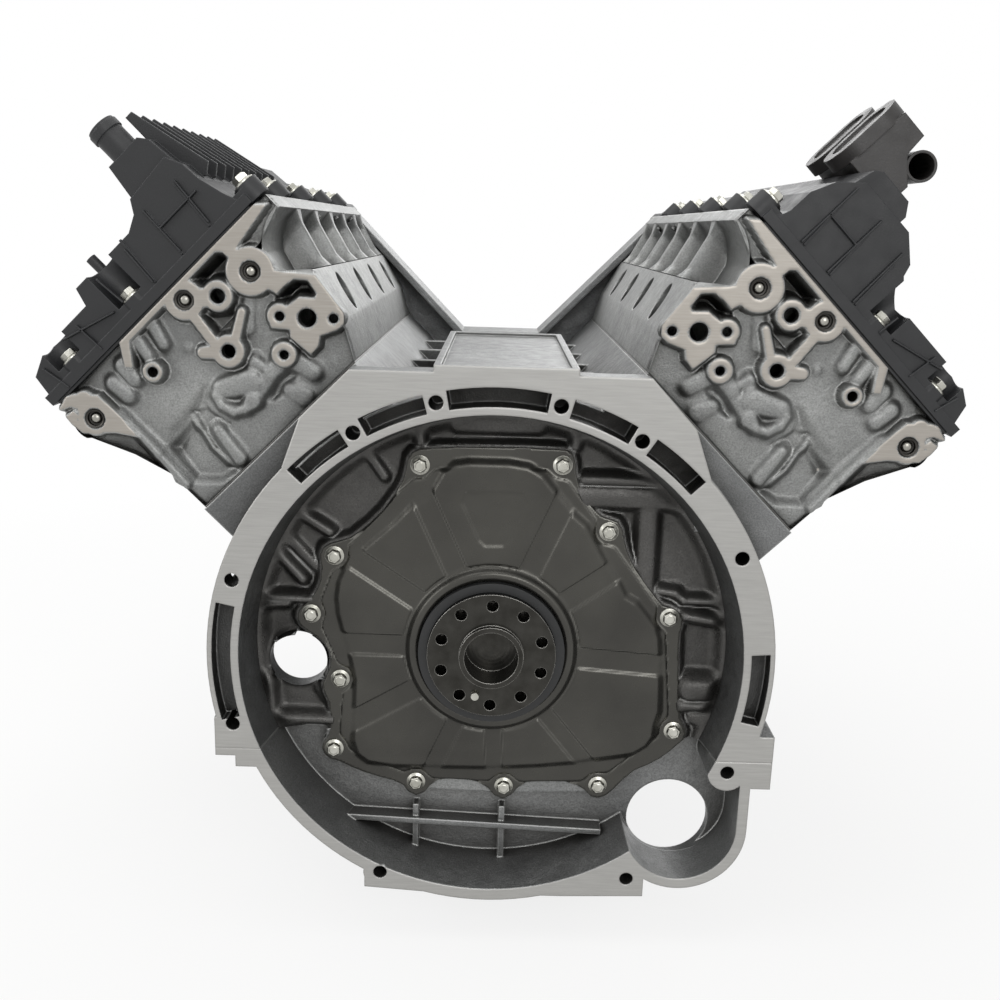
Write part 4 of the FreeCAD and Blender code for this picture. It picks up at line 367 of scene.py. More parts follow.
def gridSheet(name, span, cell, edgeOf, heightOf, toWorld, skirt=0.0, flip=False):
    # a fine sheet whose border follows an outline, in millimetres; a skirt folds its border back by that much
    (x0, x1), (z0, z1) = span
    xs, zs = np.arange(x0, x1, cell), np.arange(z0, z1, cell)
    grid = np.stack(np.meshgrid(xs, zs, indexing="ij"), -1).reshape(-1, 2)
    inside = (edgeOf(grid) < cell * 0.45).reshape(len(xs), len(zs))
    whole = inside[:-1, :-1] & inside[1:, :-1] & inside[1:, 1:] & inside[:-1, 1:]
    i, j = np.nonzero(whole)
    wide = len(zs)
    faces = np.stack([i * wide + j, (i + 1) * wide + j, (i + 1) * wide + j + 1, i * wide + j + 1], 1)
    rims = np.zeros(len(grid), int)
    np.add.at(rims, faces.ravel(), 1)
    rim = np.nonzero((rims > 0) & (rims < 4))[0]
    border = grid[rim]
    for _ in range(4):                # the outermost points slide onto the outline
        slope = np.stack([edgeOf(border + d) - edgeOf(border - d) for d in ((0.05, 0), (0, 0.05))], -1) / 0.1
        slope /= np.maximum(np.linalg.norm(slope, axis=1, keepdims=True), 1e-6)
        border = border - slope * edgeOf(border)[:, None]
    grid[rim] = border
    used = np.nonzero(rims)[0]
    order = np.full(len(grid), -1)
    order[used] = np.arange(len(used))
    kept = grid[used]
    depth = heightOf(kept)
    faces = order[faces]
    if skirt:
        sidesOf = np.concatenate([faces[:, [k, (k + 1) % 4]] for k in range(4)])
        keys = np.sort(sidesOf, 1)
        _, first, count = np.unique(keys[:, 0] * len(used) + keys[:, 1], return_index=True, return_counts=True)
        sides = sidesOf[first[count == 1]]
        ends = np.unique(sides)
        twin = np.full(len(used), -1)
        twin[ends] = len(used) + np.arange(len(ends))
        kept = np.concatenate([kept, kept[ends]])
        depth = np.concatenate([depth, depth[ends] + skirt])
        fold = np.stack([sides[:, 1], sides[:, 0], twin[sides[:, 0]], twin[sides[:, 1]]], 1)
        faces = np.concatenate([faces, fold])
    points = toWorld(kept, depth) * mm
    mesh = bpy.data.meshes.new(name)
    mesh.from_pydata(points.tolist(), [], (faces[:, ::-1] if flip else faces).tolist())
    mesh.polygons.foreach_set("use_smooth", np.ones(len(faces), bool))
    mesh.set_sharp_from_angle(angle=math.radians(50))
    return mesh


# Rear seal cover: a pressed sheet whose channels fan out from the collar round the seal
sealCover = {"rimY": 18.0, "bandY": 17.2, "panelY": 13.2, "collarY": 9.4, "troughY": 14.6, "sheet": 1.8,
             "cell": 1.2, "channelHalf": 8.6, "channelDepth": 1.9, "recessDepth": 1.1, "creaseHeight": 1.0,
             "hole": 56.2, "collar": 61.5, "trough": 67.0, "troughEnd": 70.0, "lipHeight": 1.2,
             "boltLand": 10.0, "boltLine": 2.5, "lowChannel": 1.8, "boltSeat": 17.9}
coverBolts = ((-57, 143), (49, 146), (86, 96), (136, 29), (145, -65), (88, -114),
              (13, -117), (-57, -115), (-122, -88), (-117, -29), (-139, 24), (-121, 71))
coverEdge = ((-67, 141), (-66, 147), (-63, 152), (-58, 154.5), (-50, 155.5), (-30, 157), (19, 158), (45, 157.5),
             (52, 157), (56, 154), (58, 148), (59, 139.5), (62, 129), (67, 119), (74, 112), (80, 107), (87, 105),
             (92.5, 103), (96, 97), (98, 88), (101, 79), (107, 67), (116.5, 54), (124.6, 44), (130.5, 38),
             (137, 36), (143, 33), (146.5, 27.6), (146, 21), (144.5, 14), (145.2, -4), (146.6, -24), (148.2, -45),
             (150, -55), (153, -61), (155.5, -67), (154, -73), (149, -78), (143, -84), (136, -90), (127, -95.6),
             (117, -100.5), (109, -108), (102, -116.5), (96, -123), (89, -126), (83, -124.6), (78, -119),
             (71.6, -115), (62, -112.6), (44, -112.6), (31, -114), (24, -119), (19.6, -125), (13, -129),
             (5.6, -126), (1, -120), (-7, -115), (-17.6, -113), (-29, -112.5), (-40, -114), (-46, -119),
             (-50.4, -125), (-57, -128), (-63, -125), (-67.5, -119), (-76, -115), (-86, -112.7), (-98, -109),
             (-110, -104), (-118, -100), (-125.5, -98), (-130, -94), (-132, -89), (-131, -84), (-127, -79),
             (-125, -73), (-124.5, -62), (-126, -50), (-129.5, -42), (-131, -35), (-128, -28), (-125, -21),
             (-124, -14), (-125, -7), (-129, -0.7), (-135, 5), (-143, 10), (-148, 14), (-150, 19), (-149.4, 24),
             (-146, 29), (-140, 34), (-134.5, 43), (-131.7, 51), (-130.7, 61), (-132, 70), (-130, 76),
             (-125, 79.5), (-117, 82), (-108, 85), (-95, 96), (-84.5, 107), (-74, 122), (-69, 132))
panelEdge = ((-30, 142.5), (-20, 144), (9, 144), (23, 142), (33, 136), (44, 123), (57, 107), (66.6, 98.7),
             (73, 86), (83, 69), (92.6, 56), (99, 44), (108, 38.7), (116, 29), (123, 20), (126, 11), (128, -8),
             (129.4, -32), (130, -48), (127, -59), (126, -69), (122, -76), (113.5, -82), (102, -84.5), (87, -87),
             (68, -90.6), (39.6, -94), (1.4, -97), (-37, -97.5), (-75, -97.8), (-94, -95.6), (-101, -90),
             (-104, -80), (-103, -60), (-102.3, -39), (-102, -29), (-105, -13), (-108.4, 1), (-112, 14),
             (-115, 26), (-116, 38), (-114.6, 49), (-110, 60), (-104, 69), (-96, 75), (-85, 85), (-73, 96),
             (-60, 110), (-46, 119.5), (-42, 127), (-37, 136))
recessEdge = ((-22.7, 124), (20.4, 125), (23.7, 117), (12.6, 88), (7.3, 83), (-7.2, 82.5), (-11.9, 87), (-25.3, 116))
channelAngles = (114.6, 66.5, 35.7, -4.2, -50.5, -87.4, -113.6, -149.4, 179.2, 146.4)


def coverOutline(places):
    ring = sealCover["hole"] - np.hypot(*places.T)
    return np.maximum(outlineDistance(places, coverEdge), ring)


def coverHeight(places):
    s = sealCover
    radius = np.hypot(*places.T)
    bolts = np.min([np.hypot(places[:, 0] - x, places[:, 1] - z) for x, z in coverBolts], 0)
    inBand = -softMin(-(outlineDistance(places, coverBolts) + s["boltLine"]), bolts - s["boltLand"], 5)
    y = s["rimY"] - (s["rimY"] - s["bandY"]) * smoothStep(-inBand, -1, 1.4)
    y += s["creaseHeight"] * np.exp(-inBand ** 2)              # the fine crease that follows the bolts
    panel = outlineDistance(places, panelEdge)
    floor = np.full(len(places), s["panelY"])
    for angle in channelAngles:
        c, n = math.cos(math.radians(angle)), math.sin(math.radians(angle))
        along, off = places[:, 0] * c + places[:, 1] * n, np.abs(places[:, 1] * c - places[:, 0] * n)
        half = s["channelHalf"] - (s["lowChannel"] if n < -0.7 else 0)   # the lower channels are narrower
        floor += np.where(along > 0, s["channelDepth"] * smoothStep(-off, -half - 1.2, -half + 1.2), 0)
    floor += s["recessDepth"] * smoothStep(-outlineDistance(places, recessEdge), -1.2, 1.2)
    floor += s["channelDepth"] * 0.6 * smoothStep(-places[:, 1], 84, 97) * smoothStep(-panel, -2, 12)
    y = y + (floor - y) * smoothStep(-panel, -7.5, 0.6)
    trough = smoothStep(-radius, -s["troughEnd"], -s["trough"])
    y = y + (s["troughY"] - y) * trough
    collar = smoothStep(-radius, -s["trough"] - 0.5, -s["collar"])
    y = y + (s["collarY"] - y) * collar
    lip = smoothStep(-radius, -s["hole"] - 2.2, -s["hole"] - 0.2)
    return y + s["lipHeight"] * lip


def onRear(places, depth):            # x, z and the distance ahead of the flange face
    return np.stack([places[:, 0], depth, places[:, 1]], 1)


coverMesh = gridSheet("seal cover", ((-153, 158), (-132, 161)), sealCover["cell"], coverOutline, coverHeight, onRear)
coverHolder = heldObject("seal cover", coverMesh)
wall = coverHolder.modifiers.new("sheet", "SOLIDIFY")
wall.thickness, wall.offset = sealCover["sheet"] * mm, -1
coverMesh = settle(coverHolder)
makePiece("pressed_seal_cover", coverMesh, "coated_steel", "coated_steel", ("seal_cover",))
print("seal cover made:", len(coverMesh.polygons), "faces")


def bankPlace(sign, across, up):       # x and z of a place on the bank's slanted axes
    return sign * (up + across) * halfRoot, (up - across) * halfRoot


# Rear faces of the cylinder heads: cast skin with milled bosses, worked as one relief over each head
headRelief = {"skin": 8.0, "flank": 4.5, "cell": 1.1, "skirt": 9.0, "top": 354.9, "gone": 14.6}
# gone: how deep the CAD skin is taken away; skirt: how far the relief's border folds in; all in millimetres
headProfile = ((-79.5, 229.2), (-94, 256), (-104, 296), (-86, 312), (-86, 334), (-117, 344), (-117, 354.9),
               (102, 354.9), (102, 322), (88, 292), (79.5, 264), (79.5, 229.2))
# milled bosses: across, up the bank, radius, hole radius
bosses = {"plugA": (-71.5, 325, 17.0, 6.9), "plugB": (-22.5, 343.5, 14.0, 6.4), "plugC": (88, 330, 12.0, 6.9),
          "upper": (-42, 329, 10.6, 5.3), "middle": (-19, 296.6, 11.4, 5.1), "big": (-77.5, 274.3, 12.0, 6.6),
          "small": (-64, 288.7, 8.6, 3.4), "corner": (-91, 261, 7.0, 3.4), "low": (-46.5, 267.3, 8.8, 3.4),
          "cam": (32, 324, 7.0, 3.8)}
arms = ((-22.5, 343.5, 7, -42, 329, 6), (-20, 336, 3.6, -15, 301, 3.6), (-27, 298, 3.2, -46.6, 309.5, 2.6),
        (-19, 296.6, 5, -5, 308.5, 4), (88, 330, 10, 84, 344, 7))
plates = (((-113, 349), (-106, 355.5), (-63, 355.5), (-61, 354), (-67, 348), (-67.5, 340), (-62, 335), (-60, 318),
           (-72, 309), (-74, 301), (-82, 301.4), (-90.6, 300), (-97, 293), (-95, 281.6), (-91.6, 280), (-83.6, 288.5),
           (-72.5, 290), (-68, 296), (-58, 295), (-54, 287), (-63, 277), (-59, 272.8), (-60, 262), (-61, 254),
           (-69, 254.6), (-75, 259), (-87, 253.5), (-94, 253), (-99.5, 258.4), (-103.5, 291.6), (-88.4, 309),
           (-83, 316), (-85.4, 328), (-75, 341), (-76, 343)),
          ((103, 352), (91.5, 355.5), (86.4, 353), (73.7, 340), (73, 318), (75, 299), (85, 313), (93.4, 320.6),
           (102.5, 328.7), (103.5, 338.4), (102.5, 346), (94.9, 344.5), (94.5, 340), (98, 338), (98, 335.3),
           (93, 335), (90.8, 341.6), (94.3, 347.8)),
          ((-70, 355.5), (-70, 351.5), (28, 350.5), (40, 336), (44, 340), (33, 355.5)))
# cast ridges and lobes: ends, radii, crest below the milled faces
lobes = ((12, 281, 13.8, 273, 2.6, 2.8, 1.4), (13.8, 273, 10.8, 263.4, 2.8, 2.8, 1.4),
         (10.8, 263.4, 3, 259, 2.8, 3, 1.4), (3, 259, -5, 259.5, 3, 6, 1.0), (5, 281, -13, 271, 8, 10, 1.6),
         (44.9, 341.6, 47.1, 330, 7, 6, 2.0),
         (60, 338, 59, 325, 6, 6, 1.5), (8.4, 347, 12.4, 333, 4.6, 4.2, 3.0), (25, 347, 27, 334.5, 5, 4.2, 2.5),
         (72.5, 320, 75, 280, 2.2, 2.2, 2.0), (75, 280, 77, 250, 2.2, 2.4, 2.5), (-43, 266, -29, 264.3, 8, 6, 3.0),
         (-29, 264.3, -13, 260.6, 6, 5, 3.5), (-29, 268, -26, 279, 3, 4, 4.0), (-26, 279, -14, 270, 4, 6, 4.5),
         (-46.5, 267, -52, 244, 8, 7, 4.0), (30, 262, 34, 236, 4, 5, 4.5), (-30, 246, -34, 236, 6, 8, 4.5),
         (2, 318.3, 2.1, 318.3, 3.4, 3.4, 6.4), (-60, 316, -40, 300, 4, 6, 5.5))
# cast hollows: depth, softness, corners
hollows = ((23, 3.0, ((-70, 341), (-68, 349), (-56, 349), (-36, 346.5), (-37.5, 341), (-53, 337), (-62, 334))),
           (25, 2.0, ((-74, 301), (-82, 302), (-91, 300.5), (-97, 293), (-95, 281), (-91, 279.5), (-83, 288),
                      (-72, 290), (-67, 297))),
           (13, 3.0, ((-24, 325), (-25.5, 324), (-44.5, 310), (-28.5, 301), (-22, 306))),
           (12, 2.5, ((34, 284), (25, 279), (22, 260), (28, 254), (34, 232), (40, 236), (42, 253.5))),
           (15, 4.0, ((66, 276), (43, 279), (42, 270), (46, 256), (46, 240), (41, 232), (57, 235), (70, 248))),
           (12, 5.0, ((15, 290), (39, 286), (56, 286), (68, 279), (64, 271), (38, 281), (24, 280))),
           (14, 4.0, ((-53, 262), (-43, 258.5), (-27, 255.5), (-16, 256), (-16, 251), (-28, 249), (-45, 253),
                      (-55, 258))))
# open bays along the inlet side, between thick cast webs
headBays = {"low": 297.0, "high": 345.0, "lowAcross": -103.6, "highAcross": -116.6, "depth": 26.0, "set": 3.0,
            "first": 96.0, "pitch": 83.0, "count": 5, "half": 4.5, "cell": 1.4,
            "goneAcross": -101.15, "goneHalf": 15.75}


def capsule(places, x0, z0, x1, z1, r0, r1):
    run = np.array([x1 - x0, z1 - z0])
    share = np.clip(((places - (x0, z0)) @ run) / max(run @ run, 1e-6), 0, 1)
    return np.hypot(*(places - (x0, z0) - share[:, None] * run).T) - (r0 + (r1 - r0) * share)


def milledDistance(places):
    found = [np.hypot(places[:, 0] - a, places[:, 1] - u) - r for a, u, r, _ in bosses.values()]
    found += [capsule(places, a, u, c, v, r, q) for a, u, r, c, v, q in arms]
    found += [outlineDistance(places, plate) for plate in plates]
    return np.min(found, 0)


def holeDistance(places):
    return np.min([np.hypot(places[:, 0] - a, places[:, 1] - u) - r for a, u, _, r in bosses.values()], 0)


def headEdge(places):
    body = np.minimum(outlineDistance(places, headProfile), milledDistance(places))
    return np.max([body, places[:, 1] - headRelief["top"], -holeDistance(places)], 0)


def castLobes(places, depth, ground, found):   # raises each ridge or lobe softly out of the skin
    for x0, z0, x1, z1, r0, r1, crest in found:
        gap = capsule(places, x0, z0, x1, z1, r0, r1)
        reach = min(r0, r1)
        inner = np.clip(gap / reach + 1, 0, 1)
        drop = ground - crest
        dome = crest + 0.25 * reach * inner ** 2 + drop * smoothStep(gap, -0.25 * reach - 0.5, 1.5 + 0.55 * drop)
        dome += 4 * np.maximum(gap - 1.5 - 0.55 * drop, 0)           # leaves the hollows beside it open
        depth = softMin(depth, dome, 2.5)
    return depth


def headDepth(places):
    h = headRelief
    depth = h["skin"] + 1.6 * np.sin(places[:, 0] / 17) * np.cos(places[:, 1] / 13)
    depth += 3.0 * smoothStep(places[:, 0], 76, 84) * smoothStep(-places[:, 1], -320, -300)
    for low, soft, corners in hollows:
        depth += (low - h["skin"]) * smoothStep(-outlineDistance(places, corners), -soft, soft)
    depth = castLobes(places, depth, h["skin"] + 1, lobes)
    milled = milledDistance(places)
    flank = (h["skin"] + 1) * smoothStep(milled, -0.4, h["flank"]) + 5 * np.maximum(milled - 2.5, 0) + 0.02
    depth = softMin(depth, flank, 1.2)
    holes = holeDistance(places)
    depth = np.where(milled < -0.35, 0.0, np.maximum(depth, 0.0))
    return depth + np.where(holes < 1.0, 0.8 * (1 - np.clip(holes, 0, 1)), 0)


def reliefPiece(side, rearY):
    sign = 1 if side == "right" else -1
    h, v = headRelief, headBays

    def onHead(places, depth):
        x, z = bankPlace(sign, *places.T)
        return np.stack([x, rearY + depth, z], 1)

    def onBank(places, across):       # y, up the bank and the distance across it
        y, u = places.T
        x, z = bankPlace(sign, across, u)
        return np.stack([x, y, z], 1)

    def isGone(corners, middle):
        u = (sign * middle[:, 0] + middle[:, 2]) * halfRoot
        a = (sign * middle[:, 0] - middle[:, 2]) * halfRoot
        bay = (np.abs(a - v["goneAcross"]) < v["goneHalf"]) & (u > v["low"] + 0.5) & (u < v["high"] - 0.5)
        return (corners[:, :, 1] < rearY + h["gone"]).all(1) | bay

    node = "cylinder_head_" + side
    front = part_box(node)[1][1] / mm
    relief = gridSheet("head relief", ((-119, 110), (228, 357)), h["cell"], headEdge, headDepth, onHead,
                       h["skirt"], sign < 0)
    webs = rearY + v["first"] + v["pitch"] * np.arange(v["count"])

    def bayEdge(places):
        y, u = places.T
        return np.max([rearY + 7 - y, y - front + 0.3, v["low"] - u, u - v["high"]], 0)

    def bayAcross(places):
        y, u = places.T
        share = np.clip((u - v["low"]) / (v["high"] - v["low"]), 0, 1)
        outer = v["lowAcross"] + (v["highAcross"] - v["lowAcross"]) * share
        hollow = v["depth"] * np.minimum(1, 4.4 * share * (1 - share)) ** 0.55
        gap = np.min([np.abs(y - web) for web in webs], 0)
        gap = np.minimum(gap, np.maximum(front - y, 0))
        half = v["half"] + 5 * smoothStep(share, 0.72, 1.0) + 3 * smoothStep(-share, -0.25, 0)
        rise = 1 - smoothStep(gap, half - 1.5, half + 5.5)
        return outer + hollow - rise * np.maximum(hollow - v["set"] * np.minimum(1, 6 * share * (1 - share)), 0)

    bays = gridSheet("head bays", ((rearY + 5, front + 1), (v["low"] - 1, v["high"] + 1)), v["cell"], bayEdge,
                     bayAcross, onBank, 0, sign > 0)
    joined = bmesh.new()
    for part in (mergedCopy(node, isGone, 40), relief, bays):
        joined.from_mesh(part)
    whole = bpy.data.meshes.new("head")
    joined.to_mesh(whole)
    joined.free()
    whole.set_sharp_from_angle(angle=math.radians(40))
    makePiece("cast_head_" + side, whole, "head_casting", "head_casting", (node,))


ballPlug = {"ring": ((7.0, 0.0), (6.2, 0.9), (5.6, 1.1), (5.5, 4.5), (0.05, 5.2)),      # radius, depth below the face
            "ball": ((4.4, 5.4), (4.2, 3.6), (3.5, 2.2), (2.4, 1.3), (1.2, 0.9), (0.05, 0.8)), "sides": 40}
coverRibs = {"left": (((-78, 404), (-75, 368)), ((-47, 405), (-46, 368)), ((-18, 396), (-16, 367)),
                      ((12, 396), (10, 372)), ((47, 384), (46, 360)), ((88, 380), (84, 358)),
                      ((-84, 389), (-47, 389)), ((20, 372), (62, 384))),
             "right": (((-77, 417), (-76, 366)), ((-49, 415), (-48, 366)), ((-22, 412), (-20, 366)),
                       ((10, 382), (9, 366)), ((50, 384), (48, 362)), ((84, 378), (80, 360)),
                       ((-77, 392), (-49, 392)), ((20, 370), (60, 382)))}
coverRib = {"half": 0.8, "height": 1.1, "sunk": 0.6, "crest": 0.55, "foot": 1.25}


def turned(rings, centre, sides):      # a turned shape round an axis along y
    angles = np.arange(sides) * 2 * math.pi / sides
    x, front, z = centre
    points = [(x + r * math.cos(t), front + y, z + r * math.sin(t)) for r, y in rings for t in angles]
    faces = [(k * sides + i, k * sides + (i + 1) % sides, (k + 1) * sides + (i + 1) % sides, (k + 1) * sides + i)
             for k in range(len(rings) - 1) for i in range(sides)]
    return points, faces


def rearTrim(side, rearY):             # ball plugs in the head's gallery ends, fine ribs on the plastic cover
    sign = 1 if side == "right" else -1
    cups, balls, ribs = ([], []), ([], []), ([], [])
    for name in ("plugA", "plugB", "plugC"):
        x, z = bankPlace(sign, *bosses[name][:2])
        for held, rings in ((cups, ballPlug["ring"]), (balls, ballPlug["ball"])):
            points, faces = turned(rings, (x, rearY, z), ballPlug["sides"])
            held[1].extend(tuple(i + len(held[0]) for i in face) for face in faces)
            held[0].extend(points)
    y0, y1 = rearY - coverRib["height"], rearY + coverRib["sunk"]
    for start, end in coverRibs[side]:
        run = np.subtract(end, start) / np.hypot(*np.subtract(end, start))
        off = np.array([-run[1], run[0]]) * coverRib["half"]
        base = len(ribs[0])
        for y, wide in ((y0, coverRib["crest"]), (y1, coverRib["foot"])):
            for place in (start - off * wide, start + off * wide, end + off * wide, end - off * wide):
                x, z = bankPlace(sign, *place)
                ribs[0].append((x, y, z))
        ribs[1].extend(tuple(base + i for i in face) for face in
                       ((0, 1, 2, 3), (4, 7, 6, 5), (0, 4, 5, 1), (1, 5, 6, 2), (2, 6, 7, 3), (3, 7, 4, 0)))
    made = []
    for name, (points, faces), smooth in (("cups", cups, True), ("balls", balls, True), ("ribs", ribs, False)):
        mesh = bpy.data.meshes.new(name)
        mesh.from_pydata((np.array(points) * mm).tolist(), [], faces)
        shape = bmesh.new()
        shape.from_mesh(mesh)
        if smooth:
            for face in shape.faces:
                face.smooth = True
        else:
            bmesh.ops.recalc_face_normals(shape, faces=shape.faces)
        shape.to_mesh(mesh)
        shape.free()
        mesh.set_sharp_from_angle(angle=math.radians(35))
        made.append(mesh)
    # painted shade: the seats round the balls take the dark bolt steel, to darken the recess
    makePiece("shade_dark_plug_seats_" + side, made[0], "bolt_steel", "plug_steel", ("head_plugs",))
    makePiece("ball_plugs_" + side, made[1], "plug_steel", "plug_steel", ("head_plugs",))
    makePiece("cover_ribs_" + side, made[2], "cover_plastic", "cover_plastic")


for side, rearY in (("left", 14.0), ("right", -4.0)):
    reliefPiece(side, rearY)
    rearTrim(side, rearY)
print("head castings made")


# Floor of the bell: cast walls, galleries and pockets round the seal cover, one relief set into the block
bellFloor = {"y": 28.0, "radius": 181.4, "wall": 19.0, "joint": -72.6, "pad": 20.2, "cell": 1.3,
             "access": (-150.0, -15.0, 22.8), "keep": 23.8, "tuck": 1.8, "bore": 60.0, "crankSide": 75.0,
             "front": 12.0, "inWall": 179.7, "outWall": 182.0}       # depths, radii and edges, all in millimetres
bellRidges = ((-184, 36, -140, 34.5, 1.8, 1.8, 17), (-184, 29, -158, 31.5, 1.8, 1.8, 17),
              (-178, -64, -124, -65, 2.2, 2.2, 16), (-178, -71, -150, -67, 2.0, 2.0, 17),
              (-167, 73, -146, 50, 2.4, 2.4, 19), (-160, 86, -136, 60, 4.0, 3.0, 22),
              (-150, 104, -125, 88, 2.4, 2.4, 19),
              (-181, -36, -181, -62, 9, 7, 12), (-150, -15, -149.9, -15, 30, 30, 20.5),
              (-132, -40, -124, -52, 8, 8, 24),
              (56, 122, 148, 122, 9, 9, 17), (66, 135, 142, 135, 2.4, 2.4, 17), (116, 118, 116, 46, 8, 8, 19),
              (127, 49, 140, 47, 2, 2, 19), (140, 47, 147, 41.5, 2, 2, 19), (147, 41.5, 174, 41, 2, 2, 19),
              (148, 30, 188, 24, 2, 2, 15), (156, -30.5, 182, -30.5, 9, 9, 13), (150, -43, 188, -46, 1.8, 1.8, 14),
              (150, -46, 172, -43, 1.8, 1.8, 15), (160, -57, 178, -59, 5, 5, 22), (-60, 176, -57, 160, 2.4, 2.4, 18),
              (62, 176, 58, 160, 2.4, 2.4, 18), (-98, 152, -84, 132, 3, 3, 22), (-30, 172, 30, 172, 5, 5, 23))
bellPockets = ((33, 2.0, ((127, 49), (126, 94), (139, 104), (149, 101), (163, 76), (174, 42), (147, 42), (140, 48))),
               (32, 1.8, ((147, -8), (147, 27), (175, 23), (177, -8))),
               (34, 1.5, ((147, -19), (147, -10), (177, -10), (177, -19))),
               (32, 2.5, ((-150, 110), (-124, 94), (-98, 128), (-120, 150))),
               (31, 2.5, ((-172, 40), (-150, 40), (-136, 42), (-158, 64))),
               (34, 3.0, ((-122, 92), (-118, 89), (-92, 122), (-96, 127))),
               (34, 3.0, ((98, 100), (106, 112), (106, 60), (98, 80))),
               (33, 3.0, ((124, 108), (160, 108), (150, 103), (126, 104))))


def bellEdge(places):
    b = bellFloor
    radius = np.hypot(*places.T)
    x, z, r = b["access"]
    underCover = -b["tuck"] - coverOutline(places)               # ends just below the cover's edge
    underCover += 150 * (radius < b["bore"])                     # and leaves the crank's bore open
    return np.max([radius - b["radius"], b["joint"] - places[:, 1], underCover,
                   r - np.hypot(places[:, 0] - x, places[:, 1] - z)], 0)


def bellDepth(places):
    b = bellFloor
    radius = np.hypot(*places.T)
    calm = smoothStep(places[:, 1], b["joint"], b["joint"] + 12)
    depth = b["y"] + calm * 0.8 * np.sin(places[:, 0] / 15) * np.sin(places[:, 1] / 19)
    for low, soft, corners in bellPockets:
        depth += (low - b["y"]) * smoothStep(-outlineDistance(places, corners), -soft, soft)
    depth = castLobes(places, depth, b["y"], bellRidges)
    depth = softMin(depth, b["pad"] + (b["y"] - b["pad"]) * smoothStep(coverOutline(places), 1.0, 7.0), 2.0)
    return depth - (depth - b["wall"]) * smoothStep(radius, b["radius"] - 13, b["radius"]) ** 1.6


def bellPieces():
    b = bellFloor

    def isGone(corners, middle):
        radius = np.hypot(corners[:, :, 0], corners[:, :, 2])
        within = (corners[:, :, 1] > b["front"]) & (corners[:, :, 1] < b["y"] + 0.2) & (radius < b["outWall"])
        within &= corners[:, :, 2] > b["joint"] - 1
        x, z, _ = b["access"]
        ring = np.hypot(middle[:, 0] - x, middle[:, 2] - z) < b["keep"]
        reach = np.hypot(middle[:, 0], middle[:, 2])
        return within.all(1) & ~ring & (reach > b["crankSide"]) & (reach < b["inWall"])

    block = mergedCopy("cylinder_block", isGone, 30)
    makePiece("cast_block", block, "block_casting", "block_casting", ("cylinder_block",))
    floor = gridSheet("bell floor", ((-183, 183), (-75, 183)), b["cell"], bellEdge, bellDepth, onRear)
    makePiece("cast_bell_floor", floor, "bell_casting", "block_casting", ("cylinder_block",))
    print("bell floor made:", len(floor.polygons), "faces")


bellPieces()


# Flanged hexagon bolts, set out by Geometry Nodes on one point for each seat
boltShape = {"chamfer": 0.7, "narrow": 0.87, "lip": 0.45, "dishTop": 0.82, "dishRise": 0.4}   # millimetres and shares


